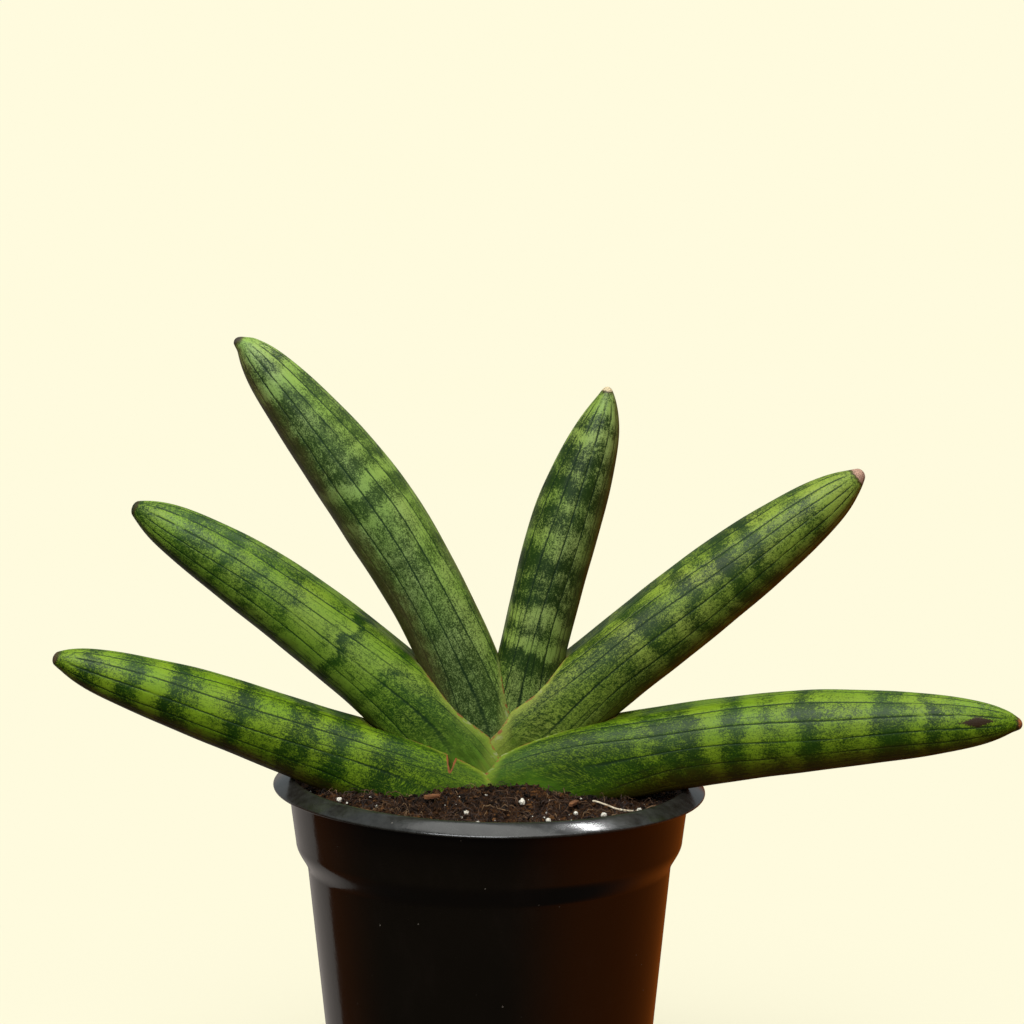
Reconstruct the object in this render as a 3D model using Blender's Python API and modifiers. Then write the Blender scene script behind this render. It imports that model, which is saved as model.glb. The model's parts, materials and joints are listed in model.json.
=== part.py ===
"""Potted snake plant: a fan of six thick cylindrical leaves whose bases clasp each other, growing in peat in a thin nursery pot.

Metres, +Z up. The origin is the centre of the pot's flat bottom. The fan stands in the XZ plane, with the longest spread along X.
"""

import math

import bmesh
import bpy
from mathutils import Matrix, Vector, noise

MM = 0.001

# Pot, in mm. Heights are above the bottom face.
POT_HEIGHT = 110.0
RIM_RADIUS = 60.0
LIP_HEIGHT = 3.3
LIP_FALL = 2.6  # the lip slopes down by this to its outer edge
LIP_INNER_RADIUS = 54.7
BAND_TOP_RADIUS = 55.8
BAND_LOW_RADIUS = 53.8
BAND_LOW = 17.9  # below the rim
STEP_RADIUS = 50.6
STEP_LOW = 25.1  # below the rim
BASE_RADIUS = 42.0
WALL = 1.1
FLOOR = 1.3
CORNER = 3.0
LIP_DROP = 0.5  # the soft rim is warped: its front and back hang by this
LIP_SAG = -0.2  # its two sides stand higher by this
LIP_TILT = 1.45  # and its right side, pressed by a leaf, hangs lower than its left by twice this
SAG_REACH = 10.0  # how far below the rim the wall gives with it
POT_STEPS = 72
DRAIN_HOLES = 8
DRAIN_RADIUS = 4.5
DRAIN_RING = 31.0

# Soil, in mm below the rim.
SOIL_EDGE = 5.0
SOIL_CROWN = -0.5
MOUND_RADIUS = 34.0
GAP = 0.3
SOIL_GAP = 0.42
BANK_HEIGHT, BANK_X, BANK_Y, BANK_LONG, BANK_WIDE = 3.8, -40.0, -20.0, 13.0, 12.0  # peat heaped against the far left leaf

# Crown, in mm. The leaves' bases share one level, where the rootstock carries them.
CROWN_X = 1.5
LEAF_BASE = -15.0  # from the rim
SHEATH_POWER = 4.0  # superellipse power of a clasping base: flat faced, round cornered
SHEATH_END = 62.0  # along the leaf, where the section is a plain ellipse again
BASE_WIDEN = 30.0
DEPTH_START, DEPTH_END = 20.0, 62.0
ROUNDNESS = 0.97  # depth over height of the free leaf
LEAF_SECTIONS = 24
LEAF_SIDES = 20

# Each leaf: azimuth of its plane in degrees; base centre, two handles and tip of its middle line, each as
# (out from the crown axis, above the rim); half thickness of the base and of the free leaf; how far back
# from the tip the taper starts and its two powers; how far along the section turns from level to square.
LEAVES = {
    "leaf_center": dict(azimuth=1.5, line=((0.0, LEAF_BASE), (13.0, 67.6), (28.4, 89.3), (31.1, 107.6)), base=7.0, half=10.1, taper=(59.6, 2.36, 0.52), turn=50.0),
    "leaf_upper_left": dict(azimuth=182.0, line=((0.0, LEAF_BASE), (-1.0, 19.4), (10.4, 53.1), (69.4, 122.2)), base=8.3, half=11.7, taper=(66.9, 1.42, 0.42), turn=50.0),
    "leaf_mid_right": dict(azimuth=3.0, line=((-2.0, LEAF_BASE), (-1.0, 9.1), (4.0, 9.9), (101.9, 84.0)), base=9.6, half=12.2, taper=(110.0, 2.9, 0.45), turn=80.0),
    "leaf_mid_left": dict(azimuth=178.0, line=((-2.0, LEAF_BASE), (-1.0, 14.7), (89.0, 70.4), (99.9, 74.8)), base=10.9, half=12.6, taper=(110.0, 1.82, 0.38), turn=80.0),
    "leaf_far_right": dict(azimuth=-10.0, line=((-0.8, LEAF_BASE), (-1.0, 15.0), (134.7, 19.2), (144.7, 20.2)), base=12.2, half=12.75, taper=(110.0, 1.82, 0.42), turn=80.0),
    "leaf_far_left": dict(azimuth=189.0, line=((0.0, LEAF_BASE), (8.6, -3.2), (50.7, 11.8), (120.8, 36.9)), base=13.5, half=13.2, taper=(107.8, 1.0, 0.36), turn=42.0),
}
INNER_TO_OUTER = ("leaf_center", "leaf_upper_left", "leaf_mid_right", "leaf_mid_left", "leaf_far_right", "leaf_far_left")

# Rootstock, in mm from the rim.
ROOT_TOP = LEAF_BASE - 0.45
ROOTS = 5


def clear_scene():
    for obj in list(bpy.data.objects):
        bpy.data.objects.remove(obj, do_unlink=True)
    for collection in list(bpy.data.collections):
        bpy.data.collections.remove(collection)


def material(name, colour, roughness, coat=0.0):
    mat = bpy.data.materials.new(name)
    mat.use_nodes = True
    shader = mat.node_tree.nodes["Principled BSDF"]
    shader.inputs["Base Color"].default_value = (*colour, 1.0)
    shader.inputs["Roughness"].default_value = roughness
    shader.inputs["Metallic"].default_value = 0.0
    shader.inputs["Coat Weight"].default_value = coat
    mat.diffuse_color = (*colour, 1.0)
    return mat


def smooth(x):
    x = min(1.0, max(0.0, x))
    return x * x * (3.0 - 2.0 * x)


def place(obj, collection, mat=None):
    collection.objects.link(obj)
    if mat is not None:
        obj.data.materials.clear()
        obj.data.materials.append(mat)
    return obj


def as_cutter(obj):
    obj.hide_render = True
    obj.display_type = "WIRE"
    return obj


def face_out(bm):
    bmesh.ops.recalc_face_normals(bm, faces=bm.faces)
    if bm.calc_volume(signed=True) < 0.0:
        bmesh.ops.reverse_faces(bm, faces=bm.faces)


def mesh_object(name, bm):
    face_out(bm)
    mesh = bpy.data.meshes.new(name)
    bm.to_mesh(mesh)
    bm.free()
    return bpy.data.objects.new(name, mesh)


def baked(obj):
    """The object's evaluated mesh, in world space, on a new object; the old one is removed."""
    bpy.context.view_layer.update()
    graph = bpy.context.evaluated_depsgraph_get()
    mesh = bpy.data.meshes.new_from_object(obj.evaluated_get(graph))
    mesh.transform(obj.matrix_world)
    bm = bmesh.new()
    bm.from_mesh(mesh)
    bmesh.ops.remove_doubles(bm, verts=bm.verts, dist=1e-6)
    face_out(bm)
    bm.to_mesh(mesh)
    bm.free()
    name = obj.name
    collections = list(obj.users_collection)
    bpy.data.objects.remove(obj, do_unlink=True)
    made = bpy.data.objects.new(name, mesh)
    for collection in collections:
        collection.objects.link(made)
    return made


def boolean(obj, other, operation="DIFFERENCE", solver="EXACT"):
    modifier = obj.modifiers.new(f"{operation.lower()}_{other.name}", "BOOLEAN")
    modifier.operation = operation
    modifier.solver = solver
    modifier.object = other


def keep_largest(obj):
    """Drops the crumbs that a Boolean leaves off the main body."""
    bm = bmesh.new()
    bm.from_mesh(obj.data)
    bm.verts.ensure_lookup_table()
    left, bodies = set(bm.verts), []
    while left:
        stack, body = [left.pop()], []
        while stack:
            vert = stack.pop()
            body.append(vert)
            for edge in vert.link_edges:
                other = edge.other_vert(vert)
                if other in left:
                    left.discard(other)
                    stack.append(other)
        bodies.append(body)
    bodies.sort(key=len, reverse=True)
    for body in bodies[1:]:
        bmesh.ops.delete(bm, geom=body, context="VERTS")
    bm.to_mesh(obj.data)
    bm.free()


def shade(obj, angle=40.0):
    obj.data.shade_smooth()
    obj.data.set_sharp_from_angle(angle=math.radians(angle))


def turned(name, profile, steps, collection):
    """A solid of revolution about Z from (radius, height) points in mm that run down the outer side."""
    mesh = bpy.data.meshes.new(name)
    points = [(r * MM, 0.0, z * MM) for r, z in profile]
    mesh.from_pydata(points, [(i, i + 1) for i in range(len(points) - 1)], [])
    obj = bpy.data.objects.new(name, mesh)
    collection.objects.link(obj)
    screw = obj.modifiers.new("turn", "SCREW")
    screw.axis = "Z"
    screw.angle = 2.0 * math.pi
    screw.steps = screw.render_steps = steps
    screw.use_merge_vertices = True
    screw.merge_threshold = 0.00001
    return baked(obj)


def arc(cx, cz, radius, start, end, count):
    return [
        (cx + radius * math.cos(math.radians(start + (end - start) * i / count)), cz + radius * math.sin(math.radians(start + (end - start) * i / count)))
        for i in range(count + 1)
    ]


def body_radius(z):
    """Outer radius of the pot's tapered body at a height in mm."""
    top = POT_HEIGHT - STEP_LOW
    return BASE_RADIUS + (STEP_RADIUS - BASE_RADIUS) * z / top


def inner_radius(z):
    """Radius of the pot's inner wall at a height in mm."""
    below = POT_HEIGHT - z
    if below < BAND_LOW:
        return BAND_TOP_RADIUS - WALL + (BAND_LOW_RADIUS - BAND_TOP_RADIUS) * below / BAND_LOW
    if below < STEP_LOW:
        return BAND_LOW_RADIUS - WALL - (BAND_LOW_RADIUS - STEP_RADIUS) * smooth((below - BAND_LOW) / (STEP_LOW - BAND_LOW))
    return body_radius(z) - WALL


def make_pot(parts, cutters):
    top = POT_HEIGHT
    flat = LIP_INNER_RADIUS + 0.9
    wide = RIM_RADIUS - flat
    outer = [(LIP_INNER_RADIUS, top)]
    outer += [(flat + wide * share, top - LIP_FALL * share**1.2) for share in (0.0, 0.25, 0.5, 0.75)]
    outer += arc(RIM_RADIUS - 0.45, top - LIP_FALL - 0.25, 0.45, 60.0, -90.0, 4)
    outer += [(flat + wide * share, top - LIP_FALL * share**1.2 - 1.25) for share in (0.75, 0.5, 0.3)]
    outer += [(BAND_TOP_RADIUS + 0.5, top - 2.0), (BAND_TOP_RADIUS + 0.05, top - 2.6)]
    for i in range(1, 4):
        share = i / 3.0
        outer += [(BAND_TOP_RADIUS + (BAND_LOW_RADIUS - BAND_TOP_RADIUS) * share, top - 2.6 - (BAND_LOW - 2.6) * share)]
    for i in range(1, 5):
        share = i / 4.0
        outer += [(BAND_LOW_RADIUS + (STEP_RADIUS - BAND_LOW_RADIUS) * smooth(share), top - BAND_LOW - (STEP_LOW - BAND_LOW) * share)]
    for z in (60.0, 35.0, CORNER + 4.0):
        outer += [(body_radius(z), z)]
    outer += arc(body_radius(CORNER) - CORNER, CORNER, CORNER, 0.0, -90.0, 4)
    outer += [(20.0, 0.0), (0.0, 0.0)]
    inner = [(0.0, FLOOR), (20.0, FLOOR)]
    inner += arc(body_radius(CORNER) - CORNER, CORNER, CORNER - WALL, -90.0, 0.0, 3)
    for z in (CORNER + 4.0, 35.0, 60.0, top - STEP_LOW):
        inner += [(inner_radius(z), z)]
    for share in (0.75, 0.5, 0.25, 0.0):
        z = top - BAND_LOW - (STEP_LOW - BAND_LOW) * share
        inner += [(inner_radius(z), z)]
    inner += [(inner_radius(top - 8.0), top - 8.0)]
    inner += arc(LIP_INNER_RADIUS, top - 1.0, LIP_INNER_RADIUS - inner_radius(top - 1.0), 180.0, 100.0, 3)
    pot = turned("pot", outer + inner + [outer[0]], POT_STEPS, parts)
    for vert in pot.data.vertices:
        x, y, z = (c / MM for c in vert.co)
        if z > top - SAG_REACH:
            share = smooth((z - top + SAG_REACH) / (SAG_REACH - LIP_HEIGHT))
            side = x / math.hypot(x, y)
            vert.co.z -= share * (LIP_DROP + LIP_TILT * side + LIP_SAG * side * side) * MM
    for i in range(DRAIN_HOLES):
        angle = 2.0 * math.pi * (i + 0.5) / DRAIN_HOLES
        bm = bmesh.new()
        bmesh.ops.create_cone(bm, cap_ends=True, segments=20, radius1=DRAIN_RADIUS * MM, radius2=DRAIN_RADIUS * MM, depth=8.0 * MM)
        hole = as_cutter(place(mesh_object(f"drain_{i + 1}", bm), cutters))
        hole.location = (DRAIN_RING * MM * math.cos(angle), DRAIN_RING * MM * math.sin(angle), 0.0)
        boolean(pot, hole)
    return pot


def bezier(points, t):
    a, b, c, d = (Vector(p) for p in points)
    u = 1.0 - t
    return u**3 * a + 3.0 * u * u * t * b + 3.0 * u * t * t * c + t**3 * d


class Leaf:
    """One leaf's form: its middle line, and at each place along it the tilt, height and depth of the section."""

    def __init__(self, azimuth, line, base, half, taper, turn):
        self.out = Vector((math.cos(math.radians(azimuth)), math.sin(math.radians(azimuth)), 0.0))
        self.side = Vector((self.out.y, -self.out.x, 0.0))
        if self.side.y > 0:
            self.side.negate()
        self.base, self.half, self.taper, self.turn = base, half, taper, turn
        count = 400
        self.points = [bezier(line, i / count) for i in range(count + 1)]
        self.along = [0.0]
        for a, b in zip(self.points, self.points[1:]):
            self.along.append(self.along[-1] + (b - a).length)
        self.length = self.along[-1]

    def middle(self, s):
        """(out, up) of the middle line and its slope angle, at s mm along."""
        low, high = 0, len(self.along) - 1
        while high - low > 1:
            half = (low + high) // 2
            if self.along[half] <= s:
                low = half
            else:
                high = half
        a, b = self.points[low], self.points[high]
        share = (s - self.along[low]) / (self.along[high] - self.along[low])
        return a.lerp(b, share), math.atan2(b.y - a.y, b.x - a.x)

    def free_half(self, s):
        back, first, second = self.taper
        share = min(1.0, max(0.0, (self.length - s) / back))
        return self.half * (1.0 - (1.0 - share) ** first) ** second

    def section(self, s, sides, grow):
        point, slope = self.middle(s)
        free = self.free_half(s)
        height = min(free, self.base + (free - self.base) * smooth(s / BASE_WIDEN)) if s > BASE_WIDEN else self.base + (free - self.base) * smooth(s / BASE_WIDEN)
        depth = self.base + (free * ROUNDNESS - self.base) * smooth((s - DEPTH_START) / (DEPTH_END - DEPTH_START))
        tilt = slope + (math.pi / 2.0 - slope) * (1.0 - smooth(s / self.turn))
        height = height / max(0.5, math.cos(tilt - slope)) + grow
        depth += grow
        power = 2.0 + (SHEATH_POWER - 2.0) * (1.0 - smooth(s / SHEATH_END))
        groove = 0.26 * smooth(s / 35.0) * (1.0 - smooth((s - 40.0) / (0.45 * self.length)))
        ring = []
        for i in range(sides):
            angle = 2.0 * math.pi * i / sides
            c, d = math.cos(angle), math.sin(angle)
            across = math.copysign(abs(c) ** (2.0 / power), c)
            up = math.copysign(abs(d) ** (2.0 / power), d)
            if up > 0.0:
                up *= 1.0 - groove * math.exp(-((across / 0.55) ** 2))
            flat = point + Vector((-math.sin(tilt), math.cos(tilt))) * (height * up)
            place_at = self.out * flat.x + self.side * (depth * across)
            ring.append(Vector((place_at.x + CROWN_X, place_at.y, flat.y + POT_HEIGHT)) * MM)
        return ring

    def mesh(self, name, grow=0.0, sections=LEAF_SECTIONS, sides=LEAF_SIDES):
        end = 0.35
        places = [(self.length - end) * math.sin(0.5 * math.pi * i / sections) ** 0.9 for i in range(sections + 1)]
        bm = bmesh.new()
        rings = []
        for s in places:
            # A grown copy starts lower, so that it cuts right through the level end of the leaf around it.
            drop = 0.8 * MM if grow and s == 0.0 else 0.0
            rings.append([bm.verts.new(v - Vector((0.0, 0.0, drop))) for v in self.section(s, sides, grow)])
        for a, b in zip(rings, rings[1:]):
            for i in range(sides):
                j = (i + 1) % sides
                bm.faces.new((a[i], a[j], b[j], b[i]))
        first = sum((v.co for v in rings[0]), Vector()) / sides
        point, slope = self.middle(self.length)
        tip = point + Vector((math.cos(slope), math.sin(slope))) * grow
        last = Vector((self.out.x * tip.x + CROWN_X, self.out.y * tip.x, tip.y + POT_HEIGHT)) * MM
        for ring, end_point in ((rings[0], first), (rings[-1], last)):
            centre = bm.verts.new(end_point)
            for i in range(sides):
                bm.faces.new((ring[i], ring[(i + 1) % sides], centre))
        return mesh_object(name, bm)


def make_leaves(parts, cutters, greens):
    forms = {name: Leaf(**LEAVES[name]) for name in INNER_TO_OUTER}
    grown = {}
    for name in INNER_TO_OUTER:
        leaf = place(forms[name].mesh(name), parts)
        for inner in grown.values():
            boolean(leaf, inner, solver="MANIFOLD")
        leaf = baked(leaf)
        keep_largest(leaf)
        leaf.data.materials.clear()
        leaf.data.materials.append(greens[name])
        shade(leaf, 50.0)
        grown[name] = as_cutter(place(forms[name].mesh(f"{name}_grown", grow=GAP), cutters))


def tube(name, points, radii, collection, sides=2):
    """A closed bevelled curve as a mesh, with points in mm from the rim and a radius in mm at each."""
    curve = bpy.data.curves.new(name, "CURVE")
    curve.dimensions = "3D"
    curve.bevel_depth = MM
    curve.bevel_resolution = sides
    curve.use_fill_caps = True
    spline = curve.splines.new("POLY")
    spline.points.add(len(points) - 1)
    for item, (x, y, z), radius in zip(spline.points, points, radii):
        item.co = (x * MM, y * MM, (z + POT_HEIGHT) * MM, 1.0)
        item.radius = radius
    obj = bpy.data.objects.new(name, curve)
    collection.objects.link(obj)
    return baked(obj)


def root_path(i, count=7):
    """Middle line of one root: out of the rootstock's side, then down through the soil."""
    angle = math.radians(72.0 * i + 20.0)
    reach = 22.0 + 4.0 * (i % 3)
    fall = 44.0 + 7.0 * ((i * 2) % 5)
    points = []
    for k in range(count):
        t = k / (count - 1.0)
        out = 4.0 + reach * (1.0 - (1.0 - t) ** 2)
        swing = angle + 0.35 * math.sin(2.4 * t + i)
        points.append((CROWN_X + out * math.cos(swing), out * math.sin(swing), -27.0 - fall * t**1.3))
    return points


def make_rootstock(name, collection, cutters, grow=0.0):
    profile = [(0.0, ROOT_TOP + grow), (12.4 + grow, ROOT_TOP + grow), (13.0 + grow, ROOT_TOP - 0.8), (12.2 + grow, -20.0), (9.6 + grow, -26.0), (8.4 + grow, -33.0), (5.5 + grow, -38.5), (0.0, -41.0 - grow)]
    stock = turned(name, [(r, z + POT_HEIGHT) for r, z in profile], 24, collection)
    stock.data.transform(Matrix.Translation((CROWN_X * MM, 0.0, 0.0)))
    pieces = []
    creeping = [(CROWN_X - 3.0 - 5.5 * k, 2.0 + 2.2 * k, -30.0 - 0.9 * k) for k in range(6)]
    girth = [7.0, 7.2, 6.8, 6.9, 6.0, 2.6]
    pieces.append(tube(f"{name}_creeping", creeping, [g + grow for g in girth], cutters, sides=2))
    for i in range(ROOTS):
        path = root_path(i)
        if grow:
            end = Vector(path[-1]) + (Vector(path[-1]) - Vector(path[-2])).normalized() * grow
            path = path[:-1] + [tuple(end)]
        pieces.append(tube(f"{name}_root_{i + 1}", path, [1.5 - 0.11 * k + grow for k in range(len(path))], cutters, sides=1))
    for piece in pieces:
        as_cutter(piece)
        boolean(stock, piece, "UNION")
    stock = baked(stock)
    keep_largest(stock)
    return stock


def soil_height(x, y):
    """Height of the soil's surface in mm from the rim: a low mound about the crown, a bank on the left and gentle lumps."""
    radius = math.hypot(x - CROWN_X, y)
    mound = 1.0 - smooth((radius - 12.0) / MOUND_RADIUS)
    bank = BANK_HEIGHT * math.exp(-(((x - BANK_X) / BANK_LONG) ** 2) - ((y - BANK_Y) / BANK_WIDE) ** 2)
    lumps = noise.noise(Vector((x * 0.11, y * 0.11, 3.7))) * 1.1
    fade = 1.0 - smooth((math.hypot(x, y) - 46.0) / 6.0)
    return -SOIL_EDGE + (SOIL_EDGE - SOIL_CROWN - 0.5) * mound + bank + lumps * fade


def make_soil(parts, cutters, stock_grown):
    top = POT_HEIGHT - SOIL_EDGE
    clear = GAP + 0.05
    profile = [(0.0, top)]
    profile += [(r, top) for r in (8.0, 16.0, 24.0, 32.0, 40.0, 46.0)]
    profile += [(inner_radius(top) - clear - 1.0, top - 0.1), (inner_radius(top - 1.0) - clear, top - 1.0)]
    profile += [(inner_radius(POT_HEIGHT - BAND_LOW) - clear, POT_HEIGHT - BAND_LOW + 0.5)]
    profile += [(inner_radius(POT_HEIGHT - STEP_LOW) - clear - 0.1, POT_HEIGHT - STEP_LOW + 1.2)]
    profile += [(inner_radius(60.0) - clear, 60.0)]
    profile += [(inner_radius(CORNER + 6.0) - clear, CORNER + 6.0), (inner_radius(CORNER) - clear - 1.6, FLOOR + GAP + 0.6), (inner_radius(CORNER) - clear - 3.4, FLOOR + GAP + 0.1), (0.0, FLOOR + GAP + 0.1)]
    soil = turned("soil", profile, 48, parts)
    for vert in soil.data.vertices:
        x, y, z = (c / MM for c in vert.co)
        if z > top - 0.2:
            vert.co.z += (soil_height(x, y) + SOIL_EDGE) * MM
    boolean(soil, stock_grown, solver="MANIFOLD")
    for name in INNER_TO_OUTER:
        cutter = as_cutter(place(Leaf(**LEAVES[name]).mesh(f"{name}_in_soil", grow=SOIL_GAP), cutters))
        boolean(soil, cutter, solver="MANIFOLD")
    soil = baked(soil)
    keep_largest(soil)
    return soil


# Loose things on the soil: (x, y, size) in mm, where the front of the bed is open.
PERLITE = ((-40.5, -27.0, 0.9), (-27.0, -36.0, 0.7), (-6.0, -34.0, 0.85), (9.0, -28.0, 1.05), (16.0, -38.5, 0.85), (31.0, -35.0, 0.95), (41.0, -26.0, 0.85), (-20.0, 33.0, 0.9), (24.0, 30.0, 1.05))
BARK = ((-15.5, -24.0, 4.6, 2.2, 1.0, 25.0), (-33.0, -33.0, 3.8, 1.8, 0.9, -40.0), (23.0, -28.0, 5.2, 1.6, 0.9, 70.0), (2.0, 36.0, 5.0, 2.0, 1.0, 10.0))


def make_loose(parts, white, brown, pale):
    for i, (x, y, size) in enumerate(PERLITE):
        bm = bmesh.new()
        bmesh.ops.create_icosphere(bm, subdivisions=1, radius=size * MM)
        for vert in bm.verts:
            vert.co *= 1.0 + 0.22 * noise.noise(vert.co / MM * 0.9 + Vector((7.0 * i, 0.0, 0.0)))
            vert.co.z *= 0.8
        low = min(v.co.z for v in bm.verts) / MM
        grain = place(mesh_object(f"perlite_{i + 1}", bm), parts, white)
        around = max(soil_height(x + size * a, y + size * b) for a in (-1, 0, 1) for b in (-1, 0, 1))
        grain.location = (x * MM, y * MM, (POT_HEIGHT + around + 0.35 - low) * MM)
        shade(grain, 60.0)
    for i, (x, y, long, wide, thick, turn) in enumerate(BARK):
        bm = bmesh.new()
        bmesh.ops.create_cube(bm, size=1.0, matrix=Matrix.Diagonal((long * MM, wide * MM, thick * MM, 1.0)))
        bmesh.ops.subdivide_edges(bm, edges=[e for e in bm.edges if abs((e.verts[0].co - e.verts[1].co).x) > 1e-6], cuts=3)
        for vert in bm.verts:
            at = vert.co / MM
            vert.co.z += 0.22 * MM * noise.noise(at * 0.8 + Vector((5.0 * i, 1.0, 2.0)))
            vert.co.y *= 1.0 - 0.45 * abs(at.x / long) * 2.0 * (0.5 + 0.5 * math.sin(i + 1.0))
        chip = place(mesh_object(f"bark_{i + 1}", bm), parts, brown)
        bevel = chip.modifiers.new("worn", "BEVEL")
        bevel.width = 0.18 * MM
        bevel.segments = 1
        half = long / 2.0
        near = [soil_height(x + half * a, y + half * b) for a in (-1, -0.5, 0, 0.5, 1) for b in (-1, -0.5, 0, 0.5, 1)]
        chip.location = (x * MM, y * MM, (POT_HEIGHT + max(near) + thick / 2.0 + 0.55) * MM)
        chip.rotation_euler = (0.0, 0.0, math.radians(turn))
        shade(chip, 35.0)
    points = []
    for k in range(14):
        t = k / 13.0
        x = 28.0 + 15.0 * t
        y = -22.5 - 2.2 * math.sin(3.0 * t)
        points.append((x, y, soil_height(x, y) + 0.95 + 0.35 * math.sin(5.0 * t)))
    radii = [0.32 - 0.012 * abs(k - 6) for k in range(14)]
    rootlet = tube("rootlet", points, radii, parts, sides=1)
    rootlet.data.materials.clear()
    rootlet.data.materials.append(pale)
    shade(rootlet, 60.0)


def main():
    clear_scene()
    scene = bpy.context.scene
    scene.unit_settings.scale_length = 1.0
    parts = bpy.data.collections.new("potted_snake_plant")
    cutters = bpy.data.collections.new("cutters")
    for collection in (parts, cutters):
        scene.collection.children.link(collection)

    black = material("pot_plastic", (0.012, 0.009, 0.008), 0.28)
    earth = material("peat", (0.045, 0.022, 0.012), 0.95)
    white = material("perlite", (0.75, 0.72, 0.66), 0.9)
    brown = material("bark", (0.27, 0.12, 0.04), 0.85)
    pale = material("dead_root", (0.62, 0.55, 0.42), 0.8)
    cork = material("rhizome_skin", (0.62, 0.36, 0.15), 0.75)
    tones = {
        "leaf_center": (0.075, 0.160, 0.040),
        "leaf_upper_left": (0.085, 0.150, 0.045),
        "leaf_mid_right": (0.095, 0.190, 0.040),
        "leaf_mid_left": (0.110, 0.235, 0.040),
        "leaf_far_right": (0.150, 0.300, 0.040),
        "leaf_far_left": (0.150, 0.310, 0.035),
    }
    greens = {name: material(f"{name}_skin", tone, 0.42, 0.15) for name, tone in tones.items()}

    pot = make_pot(parts, cutters)
    pot.data.materials.clear()
    pot.data.materials.append(black)
    shade(pot, 35.0)

    make_leaves(parts, cutters, greens)

    stock = make_rootstock("rhizome", parts, cutters)
    stock.data.materials.clear()
    stock.data.materials.append(cork)
    shade(stock, 45.0)
    stock_grown = as_cutter(make_rootstock("rhizome_grown", cutters, cutters, grow=0.35))

    soil = make_soil(parts, cutters, stock_grown)
    soil.data.materials.clear()
    soil.data.materials.append(earth)
    shade(soil, 45.0)

    make_loose(parts, white, brown, pale)


main()
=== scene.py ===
import json
import math

import bmesh
import bpy
import numpy as np
from mathutils import Matrix, Vector, noise

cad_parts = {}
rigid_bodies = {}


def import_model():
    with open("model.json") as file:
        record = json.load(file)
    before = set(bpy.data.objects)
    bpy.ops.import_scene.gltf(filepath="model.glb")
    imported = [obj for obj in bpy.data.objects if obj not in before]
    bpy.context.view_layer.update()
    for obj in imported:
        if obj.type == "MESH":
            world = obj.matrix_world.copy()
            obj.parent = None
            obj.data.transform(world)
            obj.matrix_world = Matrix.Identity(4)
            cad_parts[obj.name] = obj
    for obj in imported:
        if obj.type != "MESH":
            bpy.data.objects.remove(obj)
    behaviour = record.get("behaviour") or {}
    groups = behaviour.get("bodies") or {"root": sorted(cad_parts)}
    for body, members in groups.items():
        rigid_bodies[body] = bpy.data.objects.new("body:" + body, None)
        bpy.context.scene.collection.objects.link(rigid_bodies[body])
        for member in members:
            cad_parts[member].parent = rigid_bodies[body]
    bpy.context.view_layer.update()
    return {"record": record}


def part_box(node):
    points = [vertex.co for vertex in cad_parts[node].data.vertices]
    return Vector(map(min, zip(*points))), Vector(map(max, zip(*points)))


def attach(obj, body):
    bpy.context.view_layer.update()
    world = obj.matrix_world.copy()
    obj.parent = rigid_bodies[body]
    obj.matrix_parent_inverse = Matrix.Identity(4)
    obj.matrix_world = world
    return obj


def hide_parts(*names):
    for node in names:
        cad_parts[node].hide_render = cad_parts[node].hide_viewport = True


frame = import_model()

MM = 0.001

# ---------------------------------------------------------------- dimensions, in mm, shared with the CAD
POT_HEIGHT = 110.0
RIM_RADIUS = 60.0
LIP_HEIGHT = 3.3
LIP_FALL = 2.6
LIP_INNER_RADIUS = 54.7
BAND_TOP_RADIUS = 55.8
BAND_LOW_RADIUS = 53.8
BAND_LOW = 17.9
STEP_RADIUS = 50.6
STEP_LOW = 25.1
BASE_RADIUS = 42.0
WALL = 1.1
FLOOR = 1.3
CORNER = 3.0
LIP_DROP = 0.5
LIP_SAG = -0.2
LIP_TILT = 1.45
SAG_REACH = 10.0
DRAIN_HOLES = 8
DRAIN_RADIUS = 4.5
DRAIN_RING = 31.0

BANK_HEIGHT, BANK_X, BANK_Y, BANK_LONG, BANK_WIDE = 3.8, -40.0, -20.0, 13.0, 12.0
SOIL_EDGE = 5.0
SOIL_CROWN = -0.5
MOUND_RADIUS = 34.0

CROWN_X = 1.5
LEAF_BASE = -15.0
SHEATH_POWER = 4.0
SHEATH_END = 62.0
BASE_WIDEN = 30.0
DEPTH_START, DEPTH_END = 20.0, 62.0
ROUNDNESS = 0.97

# Visible ends of the leaves, in mm: how far the dry point reaches past the CAD tip, its half width, how fast the cone behind it widens,
# and how far the point sits off the leaf's line; then the number of grooves round the leaf.
TIPS = {
    "leaf_center": dict(beyond=0.9, blunt=0.95, widen=0.56, hook=0.1, lines=14),
    "leaf_upper_left": dict(beyond=0.7, blunt=1.0, widen=0.66, hook=-0.9, lines=15),
    "leaf_mid_right": dict(beyond=0.3, blunt=1.35, widen=0.60, hook=0.2, lines=16),
    "leaf_mid_left": dict(beyond=0.2, blunt=1.7, widen=0.60, hook=0.0, lines=15),
    "leaf_far_right": dict(beyond=0.4, blunt=1.1, widen=0.60, hook=-0.5, lines=14),
    "leaf_far_left": dict(beyond=0.5, blunt=1.5, widen=0.56, hook=-0.2, lines=13),
}

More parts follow.
